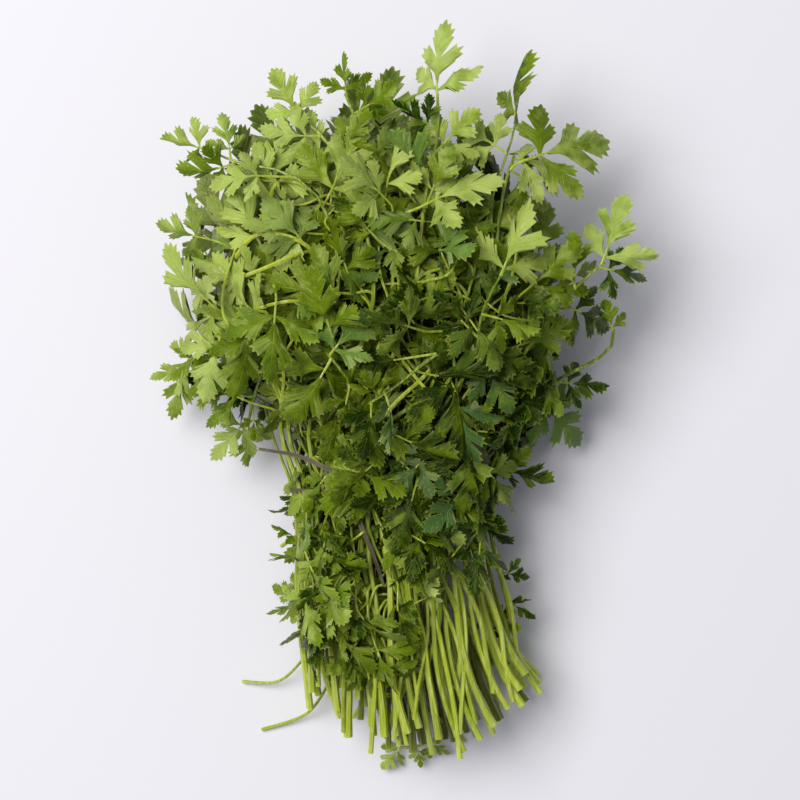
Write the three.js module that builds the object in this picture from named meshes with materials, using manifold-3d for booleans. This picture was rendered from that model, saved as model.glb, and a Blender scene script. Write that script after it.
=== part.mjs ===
// A bunch of flat-leaf parsley, lying on a table and tied round its stems with a strip of dried reed.
// Millimetres, +Z up. +Y runs from the cut ends to the leaf tips, and +X is to the right, seen from above.
// Each leafy stem is one mesh: a tapered stalk with leaf groups of three leaflets sunk into it.
import * as THREE from "three";
import { mergeVertices } from "three/addons/utils/BufferGeometryUtils.js";
import Module from "manifold-3d";

const wasm = await Module();
wasm.setup();

// ---- Driving dimensions ----

const TIE_Y = -38; // where the tie goes round the stems
const BUNCH_SHIFT = [0.95, -2.55]; // moves the whole bunch in X and Y, so that the origin is under its middle
const TIED_HALF_WIDTH = 39; // half the width of the stems under the tie
const FAN = 0.88; // how fast the stems spread sideways above the tie
const FAN_START = 60; // length over which the fan opens
const FAN_BEND = 0.35; // how much the outermost stems turn away from +Y
const END_SPREAD = 6; // extra half-width at the cut ends
const SIDE_CUT = 24; // how much shorter the outermost stems are cut
const CUT_END = -105; // distance from the tie to the furthest cut ends
const FLOOR_LEVEL = 1.2; // height of the centre of a stalk that lies on the table
const TIE_LIFT = { rise: 2.2, reach: 60 }; // the lowest stalks climb over the tie, over this length
const FLOOR_REACH = 0.72; // share of the downward reach at which the bunch is pressed flat

// Height of the bunch's middle, its reach above that, and its middle's X, at distances s from the tie.
const STATIONS = [
  { s: -112, middle: 17, up: 23, x: 11 },
  { s: -60, middle: 19, up: 25, x: 3.5 },
  { s: 0, middle: 22, up: 28, x: -5 },
  { s: 40, middle: 27, up: 33, x: -7 },
  { s: 85, middle: 33, up: 38, x: -12 },
  { s: 135, middle: 32, up: 36, x: -14 },
  { s: 200, middle: 27, up: 26, x: -10 },
];

const STALK = { cut: 1.75, tip: 1.0, slack: 0.9 }; // radii, and how far a stalk's straight pieces cut corners
const SIDES = { outer: 5, inner: 4, reed: 4 }; // faces round a top stalk, one inside the bunch, and the reed
const BLADE = 0.7; // thickness of a leaf
const LEAFLET_TURN = 64; // angle between the end leaflet and each side leaflet, degrees
const SIDE_LEAFLET = 0.72; // length of a side leaflet, as a share of the group's length
const END_LEAFLET_START = 0.1; // where the end leaflet starts, as a share of the group's length
const STRIP = 1.0; // half-width of the small stalk that carries a group
const ARCH = { fold: 0.16, droop: 0.007 }; // fall to both sides of the rib, and along it

// Gaps kept between a new group's sample points and those of other groups, other stalks, groups and
// stalk of the same stem, and the table. root is the gap of its own first point.
const CLEAR = { leaf: 4.6, stalk: 4.2, own: 3.2, ownStalk: 2, root: 3.2, floor: 0.8 };

// Rings of stems, as shares of the full cross-section, each with a stem in every lane and, where
// there is room, a shorter one beside it.
const RINGS = [
  { reach: 0.84, lanes: 10, start: 18, groups: 3, above: 2 },
  { reach: 0.56, lanes: 7, start: 12, groups: 2, above: 1 },
  { reach: 0.26, lanes: 3, start: 40, groups: 2, above: 0 },
];
const MOST_GROUPS = 5; // the most leaf groups that a stem of a ring gets
const LANE_EASE = 0.17; // spaces the lanes evenly round a flattened ring
const LONGEST = 143; // length above the tie of a stem in the middle
const SIDE_LOSS = 85; // how much shorter the outermost stems are
const SHORTER = { least: 42, step: 22 }; // how much shorter the second stem of a lane is
const ROOM_FOR_TWO = 100;

const LEAVE = 26; // where a top stem leaves its lane, past the tie
const LOW_STEM_END = 16; // how far past the tie these stems reach
const LOW_ROOT_LIFT = 0.9; // their groups leave the upper half of the stalk

// Stems that lie on top of the bunch or stand out of it. lane is the place round the tie in degrees,
// run holds X, Y and height over the bunch's surface, and each leaf group is
// [distance back from the tip, heading from +Y towards +X, length, small stalk, pitch, roll].
const TOP_STEMS = [
  { lane: 176, run: [[-58, 10, -10], [-64, 21, -6]],
    groups: [[1, -25, 25, 4, 15, 20], [4, -75, 18, 4, -5, 0], [16, -120, 15, 5, -15, 10]] },
  { lane: 155, run: [[-46, 11, 7], [-49, 29, 11], [-57, 35, 12], [-69, 28, 9], [-81, 18, 5]],
    groups: [[1, -153, 24, 4, -15, 10], [4, -108, 15, 4, -5, -15],
              [26, -163, 25, 6, -8, -20], [42, 175, 25, 9, 2, 25]] },
  { lane: 147, run: [[-41, 4, 2], [-43, 12, 3], [-49, 16, 3], [-55, 10, 3], [-59, 0, 3], [-62, -10, 3]],
    groups: [[1, 178, 19, 4, -15, 10], [5, -125, 21, 5, -5, -10], [10, 118, 12, 5, 0, 10]] },
  { lane: 131, run: [[-25, 38, 1], [-26, 62, 3], [-33, 79, 6], [-46, 88, 7], [-64, 92, 6], [-77, 98, 5]],
    groups: [[1, -80, 16, 3, 0, 30], [12, -5, 14, 4, 15, -25],
              [15, -112, 21, 6, -10, 20], [38, -78, 20, 14, 0, -30]] },
  { lane: 123, run: [[-20, 3, 9], [-25, 13, 11], [-29, 18, 11]],
    groups: [[1, 38, 23, 3, 12, 10], [3, -150, 27, 5, 2, 15], [16, 140, 19, 6, 0, -20]] },
  { lane: 115, run: [[-11, 38, 0], [-15, 69, 2], [-24, 93, 4], [-35, 106, 5], [-40, 110, 5]],
    groups: [[1, -32, 20, 3, 10, 10], [12, -92, 19, 6, 0, 30], [22, 30, 17, 6, 10, 25]] },
  { lane: 107, run: [[-4, 38, 0], [-6, 73, 1], [-14, 98, 3], [-20, 114, 3], [-22, 119, 3]],
    groups: [[1, -5, 15, 3, 20, 15], [9, 62, 16, 6, 5, -25], [24, -62, 18, 6, 10, 20]] },
  { lane: 99, run: [[4, 38, 0], [9, 77, 1], [14, 102, 2], [14, 119, 3]],
    groups: [[1, -3, 27, 3, 8, 40], [14, -55, 17, 5, 15, 10], [24, 40, 20, 6, 10, 20]] },
  { lane: 91, run: [[17, 5, 7], [21, 14, 10], [18, 19, 12], [9, 14, 13], [-2, 5, 12], [-13, -2, 11]],
    groups: [[1, -150, 23, 4, -8, 10], [5, -92, 20, 5, 5, -20],
              [8, 165, 24, 6, -12, 10], [35, -90, 22, 16, -5, 10]] },
  { lane: 75, run: [[25, 38, 0], [35, 77, 1], [42, 98, 2], [45, 110, 3]],
    groups: [[1, -3, 27, 2, 10, 78], [15, -35, 24, 6, 12, -15]] },
  { lane: 67, run: [[28, 15, 8], [31, 33, 10], [39, 49, 11]],
    groups: [[1, 22, 29, 3, 12, -5], [18, 105, 18, 6, 5, 10], [28, -50, 20, 7, 5, 20]] },
  { lane: 59, run: [[34, 38, 1], [38, 70, 1], [41, 86, 2], [44, 95, 3]],
    groups: [[1, 60, 31, 3, 8, -5], [6, 100, 23, 5, -8, 15]] },
  { lane: 49, leave: 6, run: [[31, -18, 6], [29, -11, 8]],
    groups: [[1, -25, 19, 3, 8, 10], [3, 52, 17, 3, 5, 0], [16, 140, 24, 10, -8, 10]] },
  { lane: 38, run: [[52, 23, 3], [67, 42, 4], [80, 54, 5]],
    groups: [[1, 20, 27, 3, 12, 30], [3, 90, 19, 4, -5, -10],
              [16, 8, 20, 5, 10, -20], [24, 110, 20, 6, -10, 10]] },
  { lane: 29, run: [[54, 1, 3], [65, 9, 5], [77, 15, 6], [84, 21, 6], [85, 28, 6]],
    groups: [[1, -15, 12, 2, 15, 0], [34, 95, 17, 5, -10, 20]] },
  { lane: 19, leave: 14, run: [[53, -6, 2], [57, 1, 3]],
    groups: [[1, 138, 25, 4, -12, 0], [8, 60, 19, 5, -5, 20], [14, 172, 19, 6, -10, 10]] },
];

// Stems that end just past the tie. Each leaf group is [Y, heading, length, small stalk, pitch, roll].
const LOW_STEMS = [
  { lane: 166, leaves: [[-58, 60, 20, 6, 60, 20], [-82, -112, 14, 4, -10, 20], [-66, 150, 20, 6, 60, 10]] },
  { lane: 139, leaves: [[-54, 95, 24, 6, 44, 10], [-78, 150, 25, 6, 42, -15], [-104, 120, 22, 6, 42, 10]] },
  { lane: 83, leaves: [[-52, 170, 24, 6, 42, 10], [-78, 65, 16, 6, 44, 20]] },
  { lane: 8, leaves: [[-70, 150, 14, 3, -5, 10], [-82, 142, 13, 3, -10, -20]] },
];

// The tie: a strip of dried reed round the stems, its knot, and the routes of its two free ends.
const TIE = {
  width: 3.0,
  thick: 1.3,
  gap: 3.5, // from the outer ring of stems to the strip's middle
  floor: 0.8, // height of the strip's middle under the bunch
  steps: 28,
  flat: 1.15, // how soon its lower half meets the table
  slant: 3, // how far its left side is from its right side, along the bunch
  knotAngle: 118,
  knot: [4.4, 3.4, 2.3],
  knotLift: 2.4,
};
const TIE_ENDS = [
  [[-20, -38, 52], [-30, -33.5, 54], [-43, -26, 48], [-57, -20, 39]],
  [[-20, -38, 52], [-16, -50, 54], [-11, -62, 52], [-7, -74, 49]],
];

const ROOT_DEPTH = 1.5; // how far a stalk's tip stands past the last group's root
const SAMPLE_STEP = 4; // spacing of the sample points along a stalk
const SEED = 41;
const TRIES = 108; // poses tried for a leaf group before it is left out

// ---- Seeded draws, curves and the flow of the stems ----

function draws(seed) {
  let state = (seed * 7919 + 12345) % 2147483647;
  const next = () => (state = (state * 16807) % 2147483647) / 2147483647;
  for (let i = 0; i < 5; i++) next();
  return (low, high) => low + (high - low) * next();
}

const radians = (degrees) => (degrees * Math.PI) / 180;

// A value of STATIONS at s, eased from one station to the next.
function station(s, key) {
  if (s <= STATIONS[0].s) return STATIONS[0][key];
  for (let i = 1; i < STATIONS.length; i++) {
    const a = STATIONS[i - 1];
    const b = STATIONS[i];
    if (s <= b.s) {
      const t = (s - a.s) / (b.s - a.s);
      return a[key] + (b[key] - a[key]) * t * t * (3 - 2 * t);
    }
  }
  return STATIONS[STATIONS.length - 1][key];
}

// How far the fan has opened at s.
const opened = (s) => (s > 0 ? (s * s) / (s + FAN_START) : 0);

const halfWidth = (s) =>
  s > 0 ? TIED_HALF_WIDTH + FAN * opened(s) : TIED_HALF_WIDTH + (END_SPREAD * s) / CUT_END;

// The point that a stem at (u, v) of the cross-section, each from -1 to 1, has reached at distance s.
function flow(u, v, s) {
  const middle = station(s, "middle");
  const near = Math.max(0, 1 - Math.abs(s) / TIE_LIFT.reach);
  const down = (middle - FLOOR_LEVEL - TIE_LIFT.rise * near * near) / FLOOR_REACH;
  const z = middle + (v > 0 ? v * station(s, "up") : Math.max(v, -FLOOR_REACH) * down);
  const y = s > 0 ? s - FAN_BEND * u * u * opened(s) : s;
  return new THREE.Vector3(station(s, "x") + u * halfWidth(s), TIE_Y + y, z);
}

// Height of the bunch's upper surface at (x, y).
function topHeight(x, y) {
  let s = y - TIE_Y;
  let u = 0;
  for (let i = 0; i < 12; i++) {
    u = (x - station(s, "x")) / halfWidth(s);
    s = y - TIE_Y + (s > 0 ? FAN_BEND * u * u * opened(s) : 0);
  }
  const v = Math.sqrt(Math.max(0, 1 - u * u));
  return station(s, "middle") + v * station(s, "up");
}

// A smooth curve through points, as a polyline with its running length.
function curveThrough(points) {
  const line = [];
  const STEPS = 8;
  const at = (i) => points[Math.min(points.length - 1, Math.max(0, i))];
  for (let i = 0; i + 1 < points.length; i++) {
    for (let k = 0; k < STEPS + (i + 2 === points.length ? 1 : 0); k++) {
      const t = k / STEPS;
      const p = new THREE.Vector3();
      const weights = [
        (-t * t * t + 2 * t * t - t) / 2,
        (3 * t * t * t - 5 * t * t + 2) / 2,
        (-3 * t * t * t + 4 * t * t + t) / 2,
        (t * t * t - t * t) / 2,
      ];
      weights.forEach((w, j) => p.addScaledVector(at(i - 1 + j), w));
      line.push(p);
    }
  }
  return measured(thinned(line, STALK.slack));
}

// A polyline with its running length.
function measured(line) {
  const run = [0];
  for (let i = 1; i < line.length; i++) run.push(run[i - 1] + line[i].distanceTo(line[i - 1]));
  return { line, run, length: run[run.length - 1] };
}

// A polyline without the points that it passes within slack of anyway.
function thinned(line, slack) {
  const first = line[0];
  const last = line[line.length - 1];
  const chord = new THREE.Line3(first, last);
  const spot = new THREE.Vector3();
  let worst = 0;
  let far = slack;
  for (let i = 1; i + 1 < line.length; i++) {
    const off = chord.closestPointToPoint(line[i], true, spot).distanceTo(line[i]);
    if (off > far) [worst, far] = [i, off];
  }
  if (!worst) return [first, last];
  return [...thinned(line.slice(0, worst + 1), slack).slice(0, -1), ...thinned(line.slice(worst), slack)];
}

// Place and direction on a curve, at a distance from its start.
function along(curve, distance) {
  const d = Math.min(Math.max(distance, 0), curve.length);
  let i = 1;
  while (i + 1 < curve.run.length && curve.run[i] < d) i++;
  const a = curve.line[i - 1];
  const b = curve.line[i];
  const t = (d - curve.run[i - 1]) / (curve.run[i] - curve.run[i - 1]);
  return { at: a.clone().lerp(b, t), heading: b.clone().sub(a).normalize() };
}

// ---- Leaf groups ----

// Half of a leaflet's outline from its root to its apex, across and along, for a leaflet of length 1.
const HALF_LEAFLETS = {
  full: [[0.18, 0.28], [0.39, 0.56], [0.14, 0.63], [0.18, 0.86]],
  plain: [[0.37, 0.58], [0.13, 0.64]],
  least: [[0.34, 0.62]],
};

// One leaflet's outline in the group's plane, from the side at its right round its apex to its left.
function leafletOutline(turn, start, length, half) {
  const right = half.map(([x, y]) => [x, y]);
  const left = half.map(([x, y]) => [-x, y]).reverse();
  const c = Math.cos(radians(turn));
  const s = Math.sin(radians(turn));
  return [...right, [0, 1], ...left].map(([x, y]) => [
    length * (x * c + y * s),
    start + length * (y * c - x * s),
  ]);
}

// Outline of a group: its small stalk from y = 0 to reach, then a side, an end and a side leaflet.
function groupOutline(reach, size, detail) {
  const endHalf = HALF_LEAFLETS[detail];
  const sideHalf = HALF_LEAFLETS[detail === "full" ? "plain" : detail];
  const side = SIDE_LEAFLET * size;
  const start = END_LEAFLET_START * size;
  const crook = [0.06 * size, reach + 0.14 * size];
  return [
    [STRIP, 0],
    [STRIP, reach],
    ...leafletOutline(LEAFLET_TURN, reach, side, sideHalf),
    crook,
    ...leafletOutline(0, reach + start, size - start, endHalf),
    [-crook[0], crook[1]],
    ...leafletOutline(-LEAFLET_TURN, reach, side, sideHalf),
    [-STRIP, reach],
    [-STRIP, 0],
  ];
}

// Height of a group's arched surface over its own plane.
function archHeight(x, y, reach) {
  const past = Math.max(0, y - reach);
  return -ARCH.fold * Math.abs(x) - ARCH.droop * past * past;
}

// Axes of a group: across, along and normal, from its heading, pitch and roll in degrees.
function groupAxes(forward, normal, pose) {
  const across = forward.clone().cross(normal).normalize();
  const up = across.clone().cross(forward).normalize();
  const turn = (a, b, angle) => [
    a.clone().multiplyScalar(Math.cos(angle)).addScaledVector(b, Math.sin(angle)),
    b.clone().multiplyScalar(Math.cos(angle)).addScaledVector(a, -Math.sin(angle)),
  ];
  const [y1, x1] = turn(forward, across, radians(pose.heading));
  const [y2, z2] = turn(y1, up, radians(pose.pitch));
  const [x3, z3] = turn(x1, z2, radians(pose.roll));
  return { x: x3, y: y2, z: z3 };
}

function inGroup(root, axes, x, y, z) {
  return root.clone().addScaledVector(axes.x, x).addScaledVector(axes.y, y).addScaledVector(axes.z, z);
}

// Points over a group's surface that stand for it while groups are kept apart.
function groupSamples(group) {
  const { root, axes, reach, size } = group;
  const spots = [[0, reach * 0.5], [0, reach + 0.06 * size]];
  const leaflets = [
    [LEAFLET_TURN, 0, SIDE_LEAFLET],
    [0, END_LEAFLET_START, 1 - END_LEAFLET_START],
    [-LEAFLET_TURN, 0, SIDE_LEAFLET],
  ];
  const marks = [
    [0, 0.3], [0, 0.52], [0, 0.76], [0, 1], [0.2, 0.42], [-0.2, 0.42],
    [0.37, 0.6], [-0.37, 0.6], [0.19, 0.66], [-0.19, 0.66],
  ];
  for (const [turn, start, length] of leaflets) {
    const c = Math.cos(radians(turn));
    const s = Math.sin(radians(turn));
    for (const [x, y] of marks) {
      spots.push([length * size * (x * c + y * s), reach + size * (start + length * (y * c - x * s))]);
    }
  }
  return spots.map(([x, y]) => inGroup(root, axes, x, y, archHeight(x, y, reach)));
}

// ---- Stems: where each stalk runs ----

const eased = (angle) => angle + LANE_EASE * Math.sin(2 * angle);

function ringStems() {
  const stems = [];
  RINGS.forEach((ring, r) => {
    for (let lane = 0; lane < ring.lanes; lane++) {
      const even = radians(-90 + ring.start + (360 * lane) / ring.lanes);
      const draw = draws(SEED + 100 * r + 7 * lane);
      const u0 = ring.reach * Math.cos(eased(even));
      const longest = LONGEST - SIDE_LOSS * Math.pow(Math.abs(u0), 1.5);
      const less = SHORTER.least + (Math.sin(even) > 0 ? SHORTER.step * (lane % 3) : 0);
      const pair = longest > ROOM_FOR_TWO ? [0, less] : [0];
      pair.forEach((shorter, k) => {
        const side = pair.length > 1 ? (k ? 1 : -1) : 0;
        const a = eased(even + (side * Math.PI) / 2 / ring.lanes);
        const u = ring.reach * Math.cos(a);
        const end = longest - shorter - draw(0, 10);
        const cut = cutAt(u, draw(0, 12));
        const sway = draw(-1.5, 1.5) / TIED_HALF_WIDTH;
        const phase = draw(0, 6.28);
        const places = [cut, cut * 0.5, 0, 0.25 * end, 0.5 * end, 0.75 * end, end];
        const points = places.map((s) => {
          const b = a + sway * (Math.sin(0.028 * s + phase) - Math.sin(phase));
          return flow(ring.reach * Math.cos(b), ring.reach * Math.sin(b), s);
        });
        stems.push({
          name: `leafy_stem_${String(stems.length + 1).padStart(2, "0")}`,
          curve: curveThrough(points),
          thick: draw(0.8, 1.1),
          angle: a,
          ring,
          draw,
          groups: [],
        });
      });
    }
  });
  return stems;
}

// Where a stem at u is cut, with a random extra length to shorten it by.
const cutAt = (u, extra) => CUT_END + SIDE_CUT * u * u + extra;

// The first points of a top or low stem, which keeps to its lane of the outermost ring.
function laneStart(lane, cut, sway, leave) {
  const a = radians(lane);
  const places = [cut, cut * 0.66, cut * 0.33, 0, leave];
  return places.map((s, i) => {
    const b = a + (sway * Math.sin(i * 1.9)) / TIED_HALF_WIDTH;
    return flow(Math.cos(b), Math.sin(b), s);
  });
}

function topStems() {
  return TOP_STEMS.map((stem, i) => {
    const draw = draws(SEED + 1000 + 13 * i);
    const cut = cutAt(Math.cos(radians(stem.lane)), draw(0, 14));
    const run = stem.run.map(([x, y, lift]) => new THREE.Vector3(x, y, topHeight(x, y) + lift));
    return {
      name: `top_stem_${String(i + 1).padStart(2, "0")}`,
      curve: curveThrough([...laneStart(stem.lane, cut, draw(-0.6, 0.6), stem.leave ?? LEAVE), ...run]),
      thick: draw(0.85, 1.05),
      leaves: stem.groups.map(([back, heading, size, reach, pitch, roll]) => ({
        back,
        pose: { heading, size, reach, pitch, roll },
      })),
      draw,
      groups: [],
    };
  });
}

function lowStems() {
  return LOW_STEMS.map((stem, i) => {
    const draw = draws(SEED + 2000 + 13 * i);
    const cut = cutAt(Math.cos(radians(stem.lane)), draw(0, 14));
    const curve = curveThrough(laneStart(stem.lane, cut, draw(-0.6, 0.6), LOW_STEM_END));
    return {
      name: `low_stem_${String(i + 1).padStart(2, "0")}`,
      curve,
      thick: draw(0.9, 1.05),
      leaves: stem.leaves.map(([y, heading, size, reach, pitch, roll]) => ({
        back: TIE_Y + LOW_STEM_END - y,
        pose: { heading, size, reach, pitch, roll },
      })),
      rootLift: LOW_ROOT_LIFT,
      draw,
      groups: [],
    };
  });
}

// ---- Placing leaf groups clear of every other stem and group ----

const taken = []; // sample points in use: { p, owner, stalk }

function isClear(group, owner) {
  const samples = groupSamples(group);
  if (samples.some((p) => p.z < CLEAR.floor)) return false;
  for (const { p, owner: other, stalk } of taken) {
    const own = other === owner;
    const gap = own ? (stalk ? CLEAR.ownStalk : CLEAR.own) : stalk ? CLEAR.stalk : CLEAR.leaf;
    for (let i = own ? 2 : 0; i < samples.length; i++) {
      const least = i === 0 ? Math.min(gap, CLEAR.root) : gap;
      if (samples[i].distanceToSquared(p) < least * least) return false;
    }
  }
  group.samples = samples;
  return true;
}

function keep(stem, group, detail) {
  group.detail = detail;
  stem.groups.push(group);
  for (const p of group.samples) taken.push({ p, owner: stem.name, stalk: false });
}

const WORLD_FORWARD = new THREE.Vector3(0, 1, 0);
const WORLD_UP = new THREE.Vector3(0, 0, 1);

// Groups with a given pose: the pose is turned little by little until the group is clear.
function placeGiven(stem) {
  for (const { back, pose } of stem.leaves) {
    const root = along(stem.curve, stem.curve.length - Math.max(back, ROOT_DEPTH)).at;
    root.z += stem.rootLift ?? 0;
    for (let k = 0; k < TRIES; k++) {
      const ease = k / 6;
      const tried = {
        ...pose,
        heading: pose.heading + ease * stem.draw(-7, 7),
        pitch: pose.pitch + ease * stem.draw(-5, 7),
        roll: pose.roll + ease * stem.draw(-9, 9),
        size: pose.size * (1 - 0.006 * k),
      };
      const axes = groupAxes(WORLD_FORWARD, WORLD_UP, tried);
      const group = { root, axes, reach: tried.reach, size: tried.size };
      if (isClear(group, stem.name)) {
        keep(stem, group, stem.groups.length ? "plain" : "full");
        break;
      }
    }
  }
}

// The nth group of a stem inside the bunch: the first at its tip, the others to its sides behind it.
function placeDrawn(stem, n) {
  const out = new THREE.Vector3(Math.cos(stem.angle) / 90, 0, Math.sin(stem.angle) / 45).normalize();
  for (let k = 0; k < TRIES; k++) {
    const ease = 1 + k / 20;
    const side = (n + k) % 2 ? 1 : -1;
    const back = n ? 11 + 17 * (n - 1) + stem.draw(0, 8 * ease) : ROOT_DEPTH;
    const pose = {
      heading: n ? side * stem.draw(25, 75) : ease * stem.draw(-22, 22),
      pitch: ease * stem.draw(-12, 24),
      roll: ease * stem.draw(-32, 32),
    };
    const size = stem.draw(26, 33) * (1 - 0.006 * k);
    const reach = n ? stem.draw(4, 13) : stem.draw(2.5, 6);
    const spot = along(stem.curve, stem.curve.length - back);
    const group = { root: spot.at, axes: groupAxes(spot.heading, out, pose), reach, size };
    if (isClear(group, stem.name)) {
      keep(stem, group, "least");
      return;
    }
  }
}

// ---- The tie ----

function tiePoint(angle) {
  const middle = station(0, "middle");
  const sine = Math.sin(angle);
  const rise = station(0, "up") + TIE.gap;
  const fall = (middle - TIE.floor) * Math.max(-1, TIE.flat * sine);
  return new THREE.Vector3(
    station(0, "x") + (TIED_HALF_WIDTH + TIE.gap) * Math.cos(angle),
    TIE_Y - (TIE.slant / 2) * Math.cos(angle),
    middle + (sine > 0 ? rise * sine : fall),
  );
}

// ---- Solids ----

function solidOf(geometry) {
  const bare = geometry.clone();
  bare.deleteAttribute("normal");
  bare.deleteAttribute("uv");
  const merged = mergeVertices(bare, 1e-4);
  return new wasm.Manifold(
    new wasm.Mesh({
      numProp: 3,
      vertProperties: new Float32Array(merged.attributes.position.array),
      triVerts: new Uint32Array(merged.index.array),
    }),
  );
}

function meshOf(solid, name, material) {
  const made = solid.getMesh();
  const positions = new Float32Array(made.numVert * 3);
  for (let i = 0; i < made.numVert; i++) {
    positions.set(made.vertProperties.subarray(i * made.numProp, i * made.numProp + 3), i * 3);
  }
  const geometry = new THREE.BufferGeometry();
  geometry.setAttribute("position", new THREE.BufferAttribute(positions, 3));
  geometry.setIndex(new THREE.BufferAttribute(made.triVerts, 1));
  geometry.computeVertexNormals();
  const mesh = new THREE.Mesh(geometry, material);
  mesh.name = name;
  return mesh;
}

// Moves every vertex of a geometry to where place(x, y, z) says.
function reshape(geometry, place) {
  const p = geometry.attributes.position;
  for (let i = 0; i < p.count; i++) {
    const moved = place(p.getX(i), p.getY(i), p.getZ(i));
    p.setXYZ(i, moved.x, moved.y, moved.z);
  }
  return geometry;
}

// A rod along a curve: a unit cylinder bent to it, with its section's half-width and half-height.
function rod(curve, sides, wide, high) {
  const last = curve.line.length - 1;
  const unit = new THREE.CylinderGeometry(1, 1, 1, sides, last, false);
  return solidOf(
    reshape(unit, (x, y, z) => {
      const i = Math.round((y + 0.5) * last);
      const before = curve.line[Math.max(0, i - 1)];
      const after = curve.line[Math.min(last, i + 1)];
      const heading = after.clone().sub(before).normalize();
      const across = heading.clone().cross(WORLD_UP).normalize();
      const up = across.clone().cross(heading).normalize();
      const t = curve.run[i] / curve.length;
      return curve.line[i].clone().addScaledVector(across, x * wide(t)).addScaledVector(up, z * high(t));
    }),
  );
}

function stalkSolid(stem) {
  const radius = (t) => stem.thick * (STALK.cut + (STALK.tip - STALK.cut) * t);
  return rod(stem.curve, stem.leaves ? SIDES.outer : SIDES.inner, radius, radius);
}

function groupSolid(group) {
  const outline = groupOutline(group.reach, group.size, group.detail);
  const shape = new THREE.Shape(outline.map(([x, y]) => new THREE.Vector2(x, y)));
  const plate = new THREE.ExtrudeGeometry(shape, { depth: 1, steps: 1, bevelEnabled: false });
  return solidOf(
    reshape(plate, (x, y, z) => {
      const height = archHeight(x, y, group.reach) + (z - 0.5) * BLADE;
      return inGroup(group.root, group.axes, x, y, height);
    }),
  );
}

const FLOOR_CUT = new THREE.BoxGeometry(1000, 1000, 100).translate(0, 0, -50);

function stemSolid(stem) {
  const grown = stem.groups.reduce((solid, group) => solid.add(groupSolid(group)), stalkSolid(stem));
  return grown.subtract(solidOf(FLOOR_CUT));
}

function tieSolid() {
  const RING = 10;
  const ring = reshape(new THREE.TorusGeometry(RING, 1, SIDES.reed, TIE.steps), (x, y, z) => {
    const angle = Math.atan2(y, x);
    const a = tiePoint(angle - 0.02);
    const b = tiePoint(angle + 0.02);
    const out = new THREE.Vector3(b.z - a.z, 0, a.x - b.x).normalize();
    const far = Math.hypot(x, y) - RING;
    const spot = tiePoint(angle).addScaledVector(out, ((far - z) * TIE.thick) / 2);
    spot.y -= ((far + z) * TIE.width) / 2;
    return spot;
  });
  const knot = new THREE.SphereGeometry(1, 9, 6).scale(...TIE.knot);
  const at = tiePoint(radians(TIE.knotAngle));
  knot.translate(at.x, at.y, at.z + TIE.knotLift);
  const narrowing = (t) => 1 - 0.35 * t * t;
  const ends = TIE_ENDS.map((points) => {
    const curve = curveThrough(points.map((p) => new THREE.Vector3(...p)));
    const wide = (t) => (TIE.width / 2) * narrowing(t);
    const high = (t) => (TIE.thick / 2) * narrowing(t);
    return rod(curve, SIDES.reed, wide, high);
  });
  return [solidOf(knot), ...ends].reduce((solid, piece) => solid.add(piece), solidOf(ring));
}

// ---- The bunch ----

const LEAF_GREEN = new THREE.MeshStandardMaterial({ color: 0x4f7a22, roughness: 0.5, metalness: 0 });
const REED_BROWN = new THREE.MeshStandardMaterial({ color: 0x6b5440, roughness: 0.8, metalness: 0 });

const stems = [...topStems(), ...lowStems(), ...ringStems()];
for (const stem of stems) {
  for (let d = 0; d < stem.curve.length; d += SAMPLE_STEP) {
    taken.push({ p: along(stem.curve, d).at, owner: stem.name, stalk: true });
  }
}
for (const points of TIE_ENDS) {
  const curve = curveThrough(points.map((p) => new THREE.Vector3(...p)));
  for (let d = 0; d < curve.length; d += SAMPLE_STEP) {
    taken.push({ p: along(curve, d).at, owner: "reed_tie", stalk: true });
  }
}
for (let degrees = 0; degrees < 360; degrees += 5) {
  taken.push({ p: tiePoint(radians(degrees)), owner: "reed_tie", stalk: true });
}
const inner = stems.filter((stem) => !stem.leaves);
for (const stem of stems) if (stem.leaves) placeGiven(stem);
for (let n = 0; n < MOST_GROUPS; n++) {
  for (const stem of inner) {
    const count = stem.ring.groups + (Math.sin(stem.angle) > 0.2 ? stem.ring.above : 0);
    if (n < count) placeDrawn(stem, n);
  }
}

const bunch = new THREE.Group();
for (const stem of stems) bunch.add(meshOf(stemSolid(stem), stem.name, LEAF_GREEN));
bunch.add(meshOf(tieSolid(), "reed_tie", REED_BROWN));
bunch.position.set(BUNCH_SHIFT[0], BUNCH_SHIFT[1], 0);

export default bunch;
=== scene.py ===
import math

import bmesh
import bpy
import numpy as np
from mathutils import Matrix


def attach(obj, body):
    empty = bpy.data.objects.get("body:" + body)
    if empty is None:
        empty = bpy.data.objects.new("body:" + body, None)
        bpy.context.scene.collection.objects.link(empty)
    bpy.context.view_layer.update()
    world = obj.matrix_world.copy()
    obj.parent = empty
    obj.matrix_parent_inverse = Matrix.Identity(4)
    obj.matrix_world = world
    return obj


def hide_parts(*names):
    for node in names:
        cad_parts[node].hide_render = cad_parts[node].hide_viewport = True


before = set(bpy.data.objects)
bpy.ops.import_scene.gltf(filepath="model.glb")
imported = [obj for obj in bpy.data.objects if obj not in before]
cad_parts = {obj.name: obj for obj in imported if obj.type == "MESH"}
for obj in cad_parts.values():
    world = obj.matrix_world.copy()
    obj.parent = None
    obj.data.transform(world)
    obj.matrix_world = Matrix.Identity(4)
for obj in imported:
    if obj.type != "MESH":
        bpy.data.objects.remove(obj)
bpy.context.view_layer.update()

# ---- How the stems run ----
# A bunch of flat-leaf parsley is a few dozen cut stems gathered by hand, so that their stalks lie side by
# side at the tie, spread to a fan of leaves past it, and are pressed flat by the table under them.
# Lengths are in millimetres here, as the stems are laid, and become metres where a mesh is written.

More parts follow.
